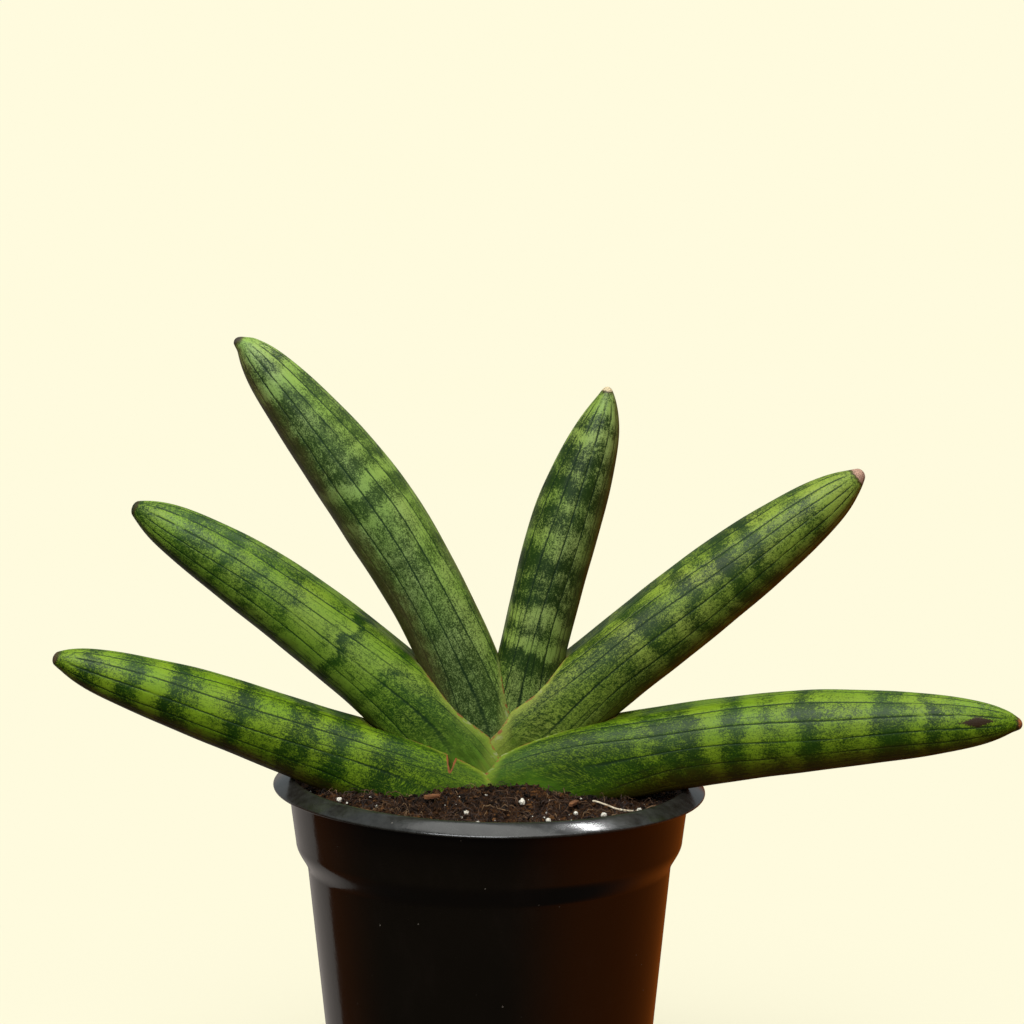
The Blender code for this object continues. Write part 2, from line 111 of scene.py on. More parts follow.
LEAVES = {
    "leaf_center": dict(azimuth=1.5, line=((0.0, LEAF_BASE), (13.0, 67.6), (28.4, 89.3), (31.1, 107.6)), base=7.0, half=10.1, taper=(59.6, 2.36, 0.52), turn=50.0),
    "leaf_upper_left": dict(azimuth=182.0, line=((0.0, LEAF_BASE), (-1.0, 19.4), (10.4, 53.1), (69.4, 122.2)), base=8.3, half=11.7, taper=(66.9, 1.42, 0.42), turn=50.0),
    "leaf_mid_right": dict(azimuth=3.0, line=((-2.0, LEAF_BASE), (-1.0, 9.1), (4.0, 9.9), (101.9, 84.0)), base=9.6, half=12.2, taper=(110.0, 2.9, 0.45), turn=80.0),
    "leaf_mid_left": dict(azimuth=178.0, line=((-2.0, LEAF_BASE), (-1.0, 14.7), (89.0, 70.4), (99.9, 74.8)), base=10.9, half=12.6, taper=(110.0, 1.82, 0.38), turn=80.0),
    "leaf_far_right": dict(azimuth=-10.0, line=((-0.8, LEAF_BASE), (-1.0, 15.0), (134.7, 19.2), (144.7, 20.2)), base=12.2, half=12.75, taper=(110.0, 1.82, 0.42), turn=80.0),
    "leaf_far_left": dict(azimuth=189.0, line=((0.0, LEAF_BASE), (8.6, -3.2), (50.7, 11.8), (120.8, 36.9)), base=13.5, half=13.2, taper=(107.8, 1.0, 0.36), turn=42.0),
}
INNER_TO_OUTER = ("leaf_center", "leaf_upper_left", "leaf_mid_right", "leaf_mid_left", "leaf_far_right", "leaf_far_left")

# Skin of each leaf: places of its bands as (mm back from the tip, paleness 0 to 1), and its dark, middle and pale
# greens (sRGB), with the painted shade colour of the side that faces down and where on the way down that shade begins.
SKINS = {
    "leaf_center": dict(
        bands=((2, 0.5), (7, 0.95), (12, 0.25), (14.5, 0.9), (18, 0.45), (22, 0.1), (25, 0.45), (29.5, 0.0), (36, 0.6), (39.5, 0.2), (46, 0.7), (52, 0.0), (55, 0.4), (58, 0.15), (60, 0.35), (62, 0.05), (67, 0.85), (70.5, 0.3), (74.5, 0.95), (77.5, 0.0), (84, 0.6)),
        light=(0.72, 0.78, 0.44), dark=(30, 50, 18), mid=(66, 90, 44), pale=(150, 165, 118), painted_shade=(92, 100, 42), tip=(206, 186, 146), tip_reach=1.1, stagger=1.3, plain=16.0, base=(92, 112, 54), margin=(150, 158, 96), painted_shade_from=0.55,
    ),
    "leaf_upper_left": dict(
        bands=((2, 0.7), (7, 0.8), (11, 0.25), (15.5, 1.0), (22, 0.2), (30, 0.5), (34.5, 0.15), (37, 0.4), (41, 0.25), (44, 0.45), (47, 0.1), (51, 0.95), (55, 0.15), (59, 0.3), (62, 0.8), (66, 0.5), (74, 0.55), (77, 0.25), (82, 0.5), (92, 0.45), (97, 0.3), (102, 0.5), (108, 0.3)),
        light=(0.77, 0.85, 0.51), dark=(40, 58, 26), mid=(80, 102, 56), pale=(146, 164, 118), painted_shade=(106, 92, 52), tip=(70, 62, 52), tip_reach=0.9, stagger=1.0, plain=22.0, base=(84, 106, 54), margin=(150, 158, 96), painted_shade_from=0.3,
    ),
    "leaf_mid_right": dict(
        bands=((2, 0.6), (9, 0.8), (12.5, 0.9), (19, 0.3), (27, 0.65), (30, 0.45), (32, 0.6), (37, 0.05), (40, 0.4), (46.5, 0.0), (49.5, 0.5), (52, 0.3), (56, 0.6), (59.5, 0.1), (64, 0.65), (69, 0.3), (74, 0.0), (78, 0.6), (84.5, 0.2), (88, 0.35), (92, 0.3), (95, 0.45)),
        light=(0.75, 0.75, 0.40), dark=(32, 54, 16), mid=(76, 100, 42), pale=(142, 160, 92), painted_shade=(114, 102, 34), tip=(178, 140, 118), tip_reach=2.4, stagger=1.5, plain=26.0, base=(96, 122, 46), margin=(168, 178, 96), painted_shade_from=0.45,
    ),
    "leaf_mid_left": dict(
        bands=((2, 0.2), (7, 0.6), (14, 0.55), (18.5, 0.2), (27, 0.5), (29.5, 0.15), (34.5, 0.6), (39, 0.25), (42, 0.6), (48, 0.45), (52, 0.3), (55, 0.75), (59.5, 0.95), (64.5, 0.6), (67, 0.8), (69.5, 0.0), (73, 0.65), (79, 0.75), (84.5, 0.3), (87, 0.6), (90, 0.35), (97, 0.3)),
        light=(0.64, 0.66, 0.30), dark=(34, 64, 18), mid=(80, 112, 42), pale=(142, 170, 90), painted_shade=(56, 50, 13), tip=(52, 54, 34), tip_reach=0.8, stagger=0.8, plain=32.0, base=(92, 126, 52), margin=(160, 176, 96), painted_shade_from=0.5,
    ),
    "leaf_far_right": dict(
        bands=((3, 0.55), (11, 0.5), (14.5, 0.85), (17, 0.5), (20, 0.65), (24.5, 0.15), (28, 0.85), (32, 0.3), (37, 0.05), (43, 0.8), (48, 0.55), (52, 0.65), (58, 0.1), (63, 0.8), (67, 0.4), (72, 0.85), (77, 0.1), (83.5, 0.9), (89.5, 0.1), (94, 0.3), (97, 0.1), (100, 0.5), (105, 0.25), (112, 0.3)),
        light=(0.62, 0.62, 0.19), dark=(34, 62, 16), mid=(78, 108, 34), pale=(134, 164, 62), painted_shade=(110, 96, 20), tip=(150, 88, 46), tip_reach=1.0, stagger=0.8, plain=25.0, base=(80, 122, 40), margin=(152, 176, 88), painted_shade_from=0.2),
    "leaf_far_left": dict(
        bands=((2, 0.4), (6, 0.7), (9.5, 0.1), (15.5, 0.8), (22, 0.1), (28, 1.0), (34.5, 0.0), (38, 0.3), (43, 0.85), (48.5, 0.55), (52, 0.0), (58, 0.65), (62, 0.55), (64.5, 0.65), (67, 0.1), (69.5, 0.3), (72, 0.1), (75, 0.6), (81.5, 0.05), (86, 0.6), (94, 0.1), (98, 0.3)),
        light=(0.58, 0.62, 0.21), dark=(30, 60, 14), mid=(82, 112, 34), pale=(144, 172, 62), painted_shade=(104, 76, 30), tip=(84, 66, 44), tip_reach=0.7, stagger=0.8, plain=21.0, base=(92, 122, 50), margin=(166, 176, 98), painted_shade_from=0.5,
    ),
}


# ---------------------------------------------------------------- small helpers
def smooth(x):
    x = np.clip(x, 0.0, 1.0)
    return x * x * (3.0 - 2.0 * x)


def linear(rgb):
    out = []
    for c in rgb:
        c /= 255.0
        out.append(c / 12.92 if c <= 0.04045 else ((c + 0.055) / 1.055) ** 2.4)
    return (*out, 1.0)


def mesh_from(name, points, faces, uvs=None, smooth_shade=True):
    mesh = bpy.data.meshes.new(name)
    mesh.from_pydata([tuple(p) for p in points], [], [tuple(int(i) for i in f) for f in faces])
    mesh.update()
    if uvs:
        loops = np.empty(len(mesh.loops), np.int32)
        mesh.loops.foreach_get("vertex_index", loops)
        for key, values in uvs.items():
            layer = mesh.uv_layers.new(name=key)
            layer.uv.foreach_set("vector", np.asarray(values, np.float32)[loops].ravel())
    if smooth_shade:
        mesh.shade_smooth()
    obj = bpy.data.objects.new(name, mesh)
    bpy.context.scene.collection.objects.link(obj)
    return obj


def finished(obj, mat, slot_name, *nodes):
    obj.data.materials.clear()
    obj.data.materials.append(mat)
    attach(obj, "root")
    if nodes:
        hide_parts(*nodes)
    return obj


def applied(obj):
    """The object's evaluated mesh put back on it with no modifiers left."""
    bpy.context.view_layer.update()
    graph = bpy.context.evaluated_depsgraph_get()
    mesh = bpy.data.meshes.new_from_object(obj.evaluated_get(graph), preserve_all_data_layers=True, depsgraph=graph)
    obj.modifiers.clear()
    old = obj.data
    obj.data = mesh
    bpy.data.meshes.remove(old)
    return obj


# ---------------------------------------------------------------- shader building
class Shader:
    def __init__(self, name):
        self.mat = bpy.data.materials.new(name)
        self.mat.use_nodes = True
        self.tree = self.mat.node_tree
        self.bsdf = self.tree.nodes["Principled BSDF"]

    def node(self, kind, **settings):
        made = self.tree.nodes.new(kind)
        for key, value in settings.items():
            setattr(made, key, value)
        return made

    def link(self, a, b):
        self.tree.links.new(a, b)

    def put(self, socket, value):
        if isinstance(value, bpy.types.NodeSocket):
            self.link(value, socket)
        else:
            socket.default_value = value

    def math(self, op, a, b=None, c=None, clamp=False):
        made = self.node("ShaderNodeMath", operation=op, use_clamp=clamp)
        for socket, value in zip(made.inputs, (a, b, c)):
            if value is not None:
                self.put(socket, value)
        return made.outputs[0]

    def step(self, value, low, high):
        """Smooth 0 to 1 as value goes from low to high, either way round."""
        made = self.node("ShaderNodeMapRange", interpolation_type="SMOOTHSTEP")
        flip = low > high
        self.put(made.inputs["Value"], value)
        made.inputs["From Min"].default_value = min(low, high)
        made.inputs["From Max"].default_value = max(low, high)
        made.inputs["To Min"].default_value = 1.0 if flip else 0.0
        made.inputs["To Max"].default_value = 0.0 if flip else 1.0
        return made.outputs["Result"]

    def span(self, value, low, high, to_low, to_high):
        made = self.node("ShaderNodeMapRange")
        self.put(made.inputs["Value"], value)
        made.inputs["From Min"].default_value = low
        made.inputs["From Max"].default_value = high
        made.inputs["To Min"].default_value = to_low
        made.inputs["To Max"].default_value = to_high
        return made.outputs["Result"]

    def mix(self, share, a, b, blend="MIX"):
        made = self.node("ShaderNodeMix", data_type="RGBA", blend_type=blend)
        self.put(made.inputs[0], share)
        self.put(made.inputs[6], a)
        self.put(made.inputs[7], b)
        return made.outputs[2]

    def noise(self, vector, scale, detail=2.0, rough=0.5, distort=0.0):
        made = self.node("ShaderNodeTexNoise")
        self.link(vector, made.inputs["Vector"])
        made.inputs["Scale"].default_value = scale
        made.inputs["Detail"].default_value = detail
        made.inputs["Roughness"].default_value = rough
        made.inputs["Distortion"].default_value = distort
        return made.outputs["Fac"]

    def voronoi(self, vector, scale, feature="F1", output="Distance", randomness=1.0):
        made = self.node("ShaderNodeTexVoronoi", feature=feature)
        self.link(vector, made.inputs["Vector"])
        made.inputs["Scale"].default_value = scale
        made.inputs["Randomness"].default_value = randomness
        return made.outputs[output]

    def scaled(self, vector, x, y, z):
        made = self.node("ShaderNodeVectorMath", operation="MULTIPLY")
        self.link(vector, made.inputs[0])
        made.inputs[1].default_value = (x, y, z)
        return made.outputs[0]

    def ramp(self, value, stops, interpolation="LINEAR"):
        made = self.node("ShaderNodeValToRGB")
        made.color_ramp.interpolation = interpolation
        elements = made.color_ramp.elements
        while len(elements) > 1:
            elements.remove(elements[-1])
        for i, (at, colour) in enumerate(stops):
            element = elements[0] if i == 0 else elements.new(at)
            element.position = at
            element.color = colour if hasattr(colour, "__len__") else (colour, colour, colour, 1.0)
        self.put(made.inputs[0], value)
        return made.outputs[0]

    def bump(self, height, strength, distance, normal=None):
        made = self.node("ShaderNodeBump")
        made.inputs["Strength"].default_value = strength
        made.inputs["Distance"].default_value = distance
        self.link(height, made.inputs["Height"])
        if normal is not None:
            self.link(normal, made.inputs["Normal"])
        return made.outputs[0]

    def object_coords(self):
        return self.node("ShaderNodeTexCoord").outputs["Object"]


# ---------------------------------------------------------------- leaves
class Leaf:
    def __init__(self, azimuth, line, base, half, taper, turn, beyond, blunt, widen, hook, lines):
        self.blunt, self.widen, self.hook, self.lines = blunt, widen, hook, lines
        angle = math.radians(azimuth)
        self.out = np.array((math.cos(angle), math.sin(angle), 0.0))
        self.side = np.array((self.out[1], -self.out[0], 0.0))
        if self.side[1] > 0:
            self.side = -self.side
        self.base, self.half, self.taper, self.turn = base, half, taper, turn
        t = np.linspace(0.0, 1.0, 801)[:, None]
        p = [np.array(q, float) for q in line]
        u = 1.0 - t
        self.points = u**3 * p[0] + 3.0 * u * u * t * p[1] + 3.0 * u * t * t * p[2] + t**3 * p[3]
        self.along = np.concatenate([[0.0], np.cumsum(np.hypot(*np.diff(self.points, axis=0).T))])
        steps = np.gradient(self.points, axis=0)
        self.slopes = np.unwrap(np.arctan2(steps[:, 1], steps[:, 0]))
        # Carry the line straight on past the CAD tip to the end of the dry point.
        ahead = np.array((math.cos(self.slopes[-1]), math.sin(self.slopes[-1])))
        self.points = np.vstack([self.points, self.points[-1] + ahead * beyond])
        self.along = np.append(self.along, self.along[-1] + beyond)
        self.slopes = np.append(self.slopes, self.slopes[-1])
        self.length = float(self.along[-1])

    def free_half(self, s):
        back, first, second = self.taper
        left = np.maximum(self.length - s, 0.0)
        share = np.clip(left / back, 0.0, 1.0)
        full = self.half * (1.0 - (1.0 - share) ** first) ** second
        cone = self.blunt * np.sqrt(1.0 - (1.0 - np.clip(left / 0.9, 0.0, 1.0)) ** 2) + self.widen * left
        return (np.maximum(full, 1e-3) ** -6.0 + np.maximum(cone, 1e-3) ** -6.0) ** (-1.0 / 6.0)

    def grid(self, s, theta, grow=0.0, flute=0.0, swell=0.0, seed=0.0, ragged=0.0):
        """Points in metres on the leaf's skin, for every s (mm along) and theta (0 at the front, 90 degrees on the upper side)."""
        s = np.asarray(s, float)[:, None]
        theta = np.asarray(theta, float)[None, :]
        x = np.interp(s, self.along, self.points[:, 0])
        z = np.interp(s, self.along, self.points[:, 1])
        slope = np.interp(s, self.along, self.slopes)
        free = self.free_half(s)
        height = self.base + (free - self.base) * smooth(s / BASE_WIDEN)
        depth = self.base + (free * ROUNDNESS - self.base) * smooth((s - DEPTH_START) / (DEPTH_END - DEPTH_START))
        tilt = slope + (math.pi / 2.0 - slope) * (1.0 - smooth(s / self.turn))
        wander = 0.05 * np.sin(0.045 * s + 3.0 * theta + seed) + 0.035 * np.sin(0.11 * s - 2.0 * theta + 2.1 * seed)
        angle = theta + wander * min(1.0, flute * 10.0)
        inset = np.zeros_like(s * theta)
        if flute:
            near = np.abs((theta * self.lines / (2.0 * math.pi) + 0.5) % 1.0 - 0.5) * 2.0 * math.pi * free / self.lines
            strength = 0.35 + 0.65 * (0.5 + 0.5 * np.sin(np.round(theta * self.lines / (2.0 * math.pi)) * 2.3 + seed))
            cut = np.exp(-((near / 0.3) ** 2)) + 0.2 * np.exp(-((near / 0.8) ** 2))
            inset += flute * strength * cut * smooth((s - 26.0) / 26.0) * smooth((self.length - s) / 9.0)
        if swell:
            inset += swell * (
                np.sin(0.21 * s + 2.0 * theta + seed) + 0.7 * np.sin(0.37 * s - 3.0 * theta + 1.7 * seed) + 0.6 * np.sin(0.12 * s + theta * 1.0 + 0.6 * seed)
            ) * smooth((self.length - s) / 12.0)
        height = height / np.maximum(0.5, np.cos(tilt - slope)) + grow
        depth = depth + grow
        if ragged:
            rough = np.sin(1.9 * s + 4.0 * theta + seed) + 0.8 * np.sin(3.7 * s - 7.0 * theta + 2.0 * seed) + 0.7 * np.sin(0.8 * s + 11.0 * theta)
            height = height + ragged * rough * 0.4
            depth = depth + ragged * rough * 0.4
        height = height - inset
        depth = depth - inset
        power = 2.0 + (SHEATH_POWER - 2.0) * (1.0 - smooth(s / SHEATH_END))
        groove = 0.26 * smooth(s / 35.0) * (1.0 - smooth((s - 40.0) / (0.45 * self.length)))
        c, d = np.cos(angle), np.sin(angle)
        across = np.sign(c) * np.abs(c) ** (2.0 / power)
        up = np.sign(d) * np.abs(d) ** (2.0 / power)
        up = np.where(up > 0.0, up * (1.0 - groove * np.exp(-((across / 0.55) ** 2))), up)
        bend = self.hook * (1.0 - smooth((self.length - s) / 3.5))
        flat_x = x - np.sin(tilt) * (height * up + bend)
        flat_z = z + np.cos(tilt) * (height * up + bend)
        sideways = depth * across
        points = self.out[None, None, :] * flat_x[..., None] + self.side[None, None, :] * sideways[..., None]
        points[..., 0] += CROWN_X
        points[..., 2] = flat_z + POT_HEIGHT
        return points * MM

    def closed(self, name, s, theta, drop=0.0, tip_beyond=0.0, **shape):
        """A closed loft over these places, with the straightened leaf's coordinates in its UV maps."""
        grid = self.grid(s, theta, **shape)
        if drop:
            grid[0, :, 2] -= drop * MM
        n, m = grid.shape[:2]
        points = grid.reshape(-1, 3)
        free = np.maximum(0.2, self.free_half(np.asarray(s)))[:, None]
        across = np.stack([(free * np.cos(theta)[None, :]).ravel(), (free * np.sin(theta)[None, :]).ravel()], -1)
        along = np.stack([np.repeat(np.asarray(s, float), m), np.full(n * m, 3.0)], -1)
        i, j = np.meshgrid(np.arange(n - 1), np.arange(m), indexing="ij")
        k = (j + 1) % m
        quads = np.stack([i * m + j, i * m + k, (i + 1) * m + k, (i + 1) * m + j], -1).reshape(-1, 4)
        slope = self.slopes[-1]
        tip = self.points[-1] + np.array((math.cos(slope), math.sin(slope))) * tip_beyond + np.array((-math.sin(slope), math.cos(slope))) * self.hook
        end = (self.out * tip[0] + np.array((CROWN_X, 0.0, tip[1] + POT_HEIGHT))) * MM
        points = np.concatenate([points, [grid[0].mean(axis=0)], [end]])
        across = np.concatenate([across, [[0.0, 0.0]], [[0.0, 0.0]]])
        along = np.concatenate([along, [[0.0, 3.0]], [[self.length, 3.0]]])
        faces = [tuple(q) for q in quads]
        first, last = n * m, n * m + 1
        for a in range(m):
            b = (a + 1) % m
            faces.append((b, a, first))
            faces.append(((n - 1) * m + a, (n - 1) * m + b, last))
        obj = mesh_from(name, points, faces, {"across": across, "along": along})
        bm = bmesh.new()
        bm.from_mesh(obj.data)
        if bm.calc_volume(signed=True) < 0.0:
            bmesh.ops.reverse_faces(bm, faces=bm.faces)
            bm.to_mesh(obj.data)
        bm.free()
        return obj


def line_angles(lines):
    """Angles round a leaf, close together at each groove."""
    shares = (-0.5, -0.38, -0.26, -0.16, -0.085, -0.035, 0.0, 0.035, 0.085, 0.16, 0.26, 0.38)
    return np.array([2.0 * math.pi * (i + f) / lines for i in range(lines) for f in shares])


def leaf_material(name, form, skin, seed):
    lines_round = form.lines
    sh = Shader(f"{name}_skin_look")
    across = sh.node("ShaderNodeUVMap", uv_map="across").outputs[0]
    along = sh.node("ShaderNodeUVMap", uv_map="along").outputs[0]
    a = sh.node("ShaderNodeSeparateXYZ")
    b = sh.node("ShaderNodeSeparateXYZ")
    sh.link(across, a.inputs[0])
    sh.link(along, b.inputs[0])
    ax, ay, s, thin = a.outputs[0], a.outputs[1], b.outputs[0], b.outputs[1]
    place = sh.node("ShaderNodeCombineXYZ")
    sh.link(ax, place.inputs[0])
    sh.link(ay, place.inputs[1])
    sh.link(sh.math("ADD", s, 37.0 * seed), place.inputs[2])
    place = place.outputs[0]
    radius = sh.math("MAXIMUM", sh.math("SQRT", sh.math("ADD", sh.math("MULTIPLY", ax, ax), sh.math("MULTIPLY", ay, ay))), 0.2)
    up = sh.math("DIVIDE", ay, radius)
    turn = sh.math("MULTIPLY", sh.math("ARCTAN2", ay, ax), lines_round / (2.0 * math.pi))

    # Noises, in mm of the straightened leaf.
    streak = sh.noise(sh.scaled(place, 1.0, 1.0, 0.10), 1.3, 3.0, 0.65)
    wave = sh.noise(sh.scaled(place, 1.0, 1.0, 0.5), 0.16, 1.0, 0.5)
    blotch = sh.noise(sh.scaled(place, 1.0, 1.0, 0.75), 0.42, 2.0, 0.55)
    fleck = sh.noise(sh.scaled(place, 1.0, 1.0, 0.85), 1.25, 2.0, 0.6)
    grain = sh.noise(sh.scaled(place, 1.0, 1.0, 0.85), 3.0, 2.0, 0.65)
    tone = sh.noise(sh.scaled(place, 1.0, 1.0, 0.6), 0.12, 1.0, 0.5)

    # Cross bands. Each strip between two grooves carries them a little forward or back, and their edges are ragged.
    cell = sh.node("ShaderNodeTexWhiteNoise", noise_dimensions="1D")
    sh.link(sh.math("ADD", sh.math("FLOOR", turn), 11.7 * seed), cell.inputs["W"])
    cell = cell.outputs["Value"]
    shifted = sh.math("ADD", s, sh.math("ADD", sh.span(streak, 0.2, 0.8, -1.6, 1.6), sh.span(wave, 0.25, 0.75, -2.2, 2.2)))
    shifted = sh.math("ADD", shifted, sh.span(cell, 0.0, 1.0, -skin["stagger"], skin["stagger"]))
    share = sh.math("DIVIDE", shifted, form.length)
    stops = sorted((1.0 - d / form.length, level) for d, level in skin["bands"])
    level = sh.ramp(share, stops, "EASE")
    t = sh.math("ADD", sh.span(level, 0.0, 1.0, 0.02, 1.02), sh.span(blotch, 0.2, 0.8, -0.22, 0.22))
    t = sh.math("ADD", t, sh.span(fleck, 0.2, 0.8, -0.36, 0.36))
    t = sh.math("ADD", t, sh.span(grain, 0.2, 0.8, -0.60, 0.60))
    t = sh.math("ADD", t, sh.span(sh.noise(place, 6.5, 1.0, 0.5), 0.2, 0.8, -0.30, 0.30))
    t = sh.math("ADD", t, sh.span(cell, 0.0, 1.0, -0.16, 0.16))
    pale = sh.step(t, 0.04, 1.02)

    def painted(name_of, times=(1.0, 1.0, 1.0)):
        return (*[c * g * t for c, g, t in zip(linear(skin[name_of])[:3], skin["light"], times)], 1.0)

    dark = sh.mix(sh.step(tone, 0.35, 0.65), painted("dark"), painted("dark", (1.4, 1.4, 1.4)))
    light = sh.mix(sh.step(tone, 0.30, 0.70), painted("pale"), painted("pale", (0.85, 0.95, 0.70)))
    colour = sh.mix(pale, dark, light)
    # Painted light: the side that faces up is tinted a yellower green, standing in for the top light falling on it, and
    # the side that faces down is painted olive as shade (below).
    lit_side_tint = sh.step(up, 0.0, 0.85)
    colour = sh.mix(sh.math("MULTIPLY", lit_side_tint, 0.75), colour, (1.0, 1.0, 0.58, 1.0), "MULTIPLY")

    # The plain green of the clasping base.
    base_share = sh.step(sh.math("ADD", s, sh.span(blotch, 0.2, 0.8, -7.0, 7.0)), skin["plain"] + 12.0, skin["plain"] - 12.0)
    base_green = sh.mix(sh.step(streak, 0.35, 0.65), painted("base", (0.65, 0.65, 0.65)), painted("base", (1.3, 1.3, 1.3)))
    base_green = sh.mix(sh.math("MULTIPLY", sh.step(grain, 0.40, 0.62), 0.22), base_green, painted("base", (0.35, 0.35, 0.35)))
    colour = sh.mix(sh.math("MULTIPLY", base_share, 0.9), colour, base_green)

    # Longitudinal grooves, as dark lines of uneven strength.
    apart = sh.math("ABSOLUTE", sh.math("SUBTRACT", sh.math("FRACT", sh.math("ADD", turn, 0.5)), 0.5))
    apart = sh.math("MULTIPLY", apart, sh.math("MULTIPLY", radius, 2.0 * math.pi / lines_round))
    apart = sh.math("ADD", apart, sh.span(grain, 0.2, 0.8, -0.09, 0.09))
    line = sh.step(apart, 0.33, 0.10)
    broken = sh.step(sh.noise(sh.scaled(place, 1.0, 1.0, 0.05), 0.9, 2.0, 0.6), 0.30, 0.46)
    line = sh.math("MULTIPLY", line, sh.math("MULTIPLY", broken, sh.step(s, 22.0, 40.0)))
    line = sh.math("MULTIPLY", line, sh.step(s, form.length - 2.5, form.length - 7.0))
    fine = sh.math("ABSOLUTE", sh.math("SUBTRACT", sh.math("FRACT", sh.math("MULTIPLY", sh.math("ADD", turn, 0.17), 3.0)), 0.5))
    fine = sh.math("MULTIPLY", fine, sh.math("MULTIPLY", radius, 2.0 * math.pi / (3.0 * lines_round)))
    fine = sh.math("MULTIPLY", sh.step(fine, 0.26, 0.08), sh.step(sh.noise(sh.scaled(place, 1.0, 1.0, 0.04), 1.6, 2.0, 0.6), 0.48, 0.62))
    fine = sh.math("MULTIPLY", fine, sh.step(s, 130.0, 60.0))
    lines = sh.math("MAXIMUM", sh.math("MULTIPLY", line, 0.92), sh.math("MULTIPLY", fine, 0.7))
    colour = sh.mix(lines, colour, painted("dark", (0.34, 0.60, 0.9)))

    # Painted shade: the side that faces down is painted olive brown, standing in for shade and warm bounce light.
    painted_shade = sh.step(sh.math("ADD", up, sh.span(blotch, 0.2, 0.8, -0.14, 0.14)), -skin["painted_shade_from"], -1.0)
    colour = sh.mix(sh.math("MULTIPLY", painted_shade, 0.85), colour, sh.mix(pale, linear([c * 0.7 for c in skin["painted_shade"]]), linear(skin["painted_shade"])))

    # Thin sheath margins turn pale, with patches of white film, and their very edge is brown and papery in places.
    thin_n = sh.math("ADD", thin, sh.span(streak, 0.2, 0.8, -0.35, 0.35))
    colour = sh.mix(sh.math("MULTIPLY", sh.step(thin_n, 1.6, 0.3), 0.55), colour, painted("margin"))
    edge_noise = sh.noise(place, 0.30, 2.0, 0.6)
    film = sh.math("MULTIPLY", sh.step(thin_n, 0.9, 0.3), sh.step(edge_noise, 0.56, 0.64))
    colour = sh.mix(sh.math("MULTIPLY", film, 0.5), colour, linear((150, 150, 112)))
    crisp = sh.math("ADD", thin, sh.span(sh.noise(place, 0.8, 2.0, 0.6), 0.3, 0.7, -0.25, 0.32))
    brown = sh.math("MULTIPLY", sh.step(crisp, 0.34, 0.16), sh.step(edge_noise, 0.54, 0.46))
    brown = sh.math("MAXIMUM", brown, sh.step(thin, 0.09, 0.05))
    colour = sh.mix(sh.math("MULTIPLY", brown, 0.9), colour, sh.mix(grain, linear((96, 48, 22)), linear((150, 96, 56))))

    if name == "leaf_far_left":
        # Brown lips of the V-shaped tear.
        spot = sh.node("ShaderNodeSeparateXYZ")
        sh.link(sh.scaled(sh.object_coords(), 1000.0, 1000.0, 1000.0), spot.inputs[0])
        deep = sh.math("ADD", spot.outputs[1], 34.0)
        flat_x = sh.math("ADD", spot.outputs[0], sh.math("MULTIPLY", deep, 0.55 / 33.0))
        flat_z = sh.math("ADD", spot.outputs[2], sh.math("MULTIPLY", deep, 7.3 / 33.0))
        arms = None
        for (x0, z0), (x1, z1) in (((-10.95, 122.8), (-10.45, 118.5)), ((-8.75, 122.2), (-10.45, 118.5))):
            dx, dz = x1 - x0, z1 - z0
            gone = sh.math("ADD", sh.math("MULTIPLY", sh.math("SUBTRACT", flat_x, x0), dx / (dx * dx + dz * dz)), sh.math("MULTIPLY", sh.math("SUBTRACT", flat_z, z0), dz / (dx * dx + dz * dz)), clamp=True)
            off_x = sh.math("SUBTRACT", sh.math("SUBTRACT", flat_x, x0), sh.math("MULTIPLY", gone, dx))
            off_z = sh.math("SUBTRACT", sh.math("SUBTRACT", flat_z, z0), sh.math("MULTIPLY", gone, dz))
            off = sh.math("SQRT", sh.math("ADD", sh.math("MULTIPLY", off_x, off_x), sh.math("MULTIPLY", off_z, off_z)))
            arms = off if arms is None else sh.math("MINIMUM", arms, off)
        lips = sh.math("MULTIPLY", sh.step(sh.math("ADD", arms, sh.span(grain, 0.2, 0.8, -0.2, 0.2)), 0.62, 0.28), sh.step(spot.outputs[1], -4.0, -6.0))
        colour = sh.mix(lips, colour, sh.mix(grain, linear((92, 44, 20)), linear((150, 92, 52))))

    # The dry tip.
    back = sh.math("SUBTRACT", form.length, s)
    back = sh.math("ADD", back, sh.span(fleck, 0.2, 0.8, -0.35, 0.35))
    dry = sh.step(back, skin["tip_reach"] + 0.25, skin["tip_reach"] - 0.25)
    tip_colour = sh.mix(sh.step(grain, 0.4, 0.6), linear([c * 0.7 for c in skin["tip"]]), linear(skin["tip"]))
    colour = sh.mix(sh.math("MULTIPLY", sh.step(back, skin["tip_reach"] + 1.0, skin["tip_reach"] + 0.2), 0.8), colour, linear((52, 34, 20)))
    colour = sh.mix(dry, colour, tip_colour)
    if name == "leaf_far_right":
        # One long brown scar on the front near the tip.
        off = sh.math("MULTIPLY", sh.math("ABSOLUTE", sh.math("SUBTRACT", back, 11.8)), 0.30)
        off = sh.math("ADD", off, sh.math("MULTIPLY", sh.math("ABSOLUTE", sh.math("SUBTRACT", ay, 1.3)), 1.1))
        off = sh.math("ADD", off, sh.span(grain, 0.2, 0.8, -0.4, 0.4))
        scar = sh.math("MULTIPLY", sh.step(off, 1.75, 1.15), sh.step(ax, 0.0, 0.5))
        colour = sh.mix(scar, colour, linear((44, 30, 14)))
    sh.link(colour, sh.bsdf.inputs["Base Color"])

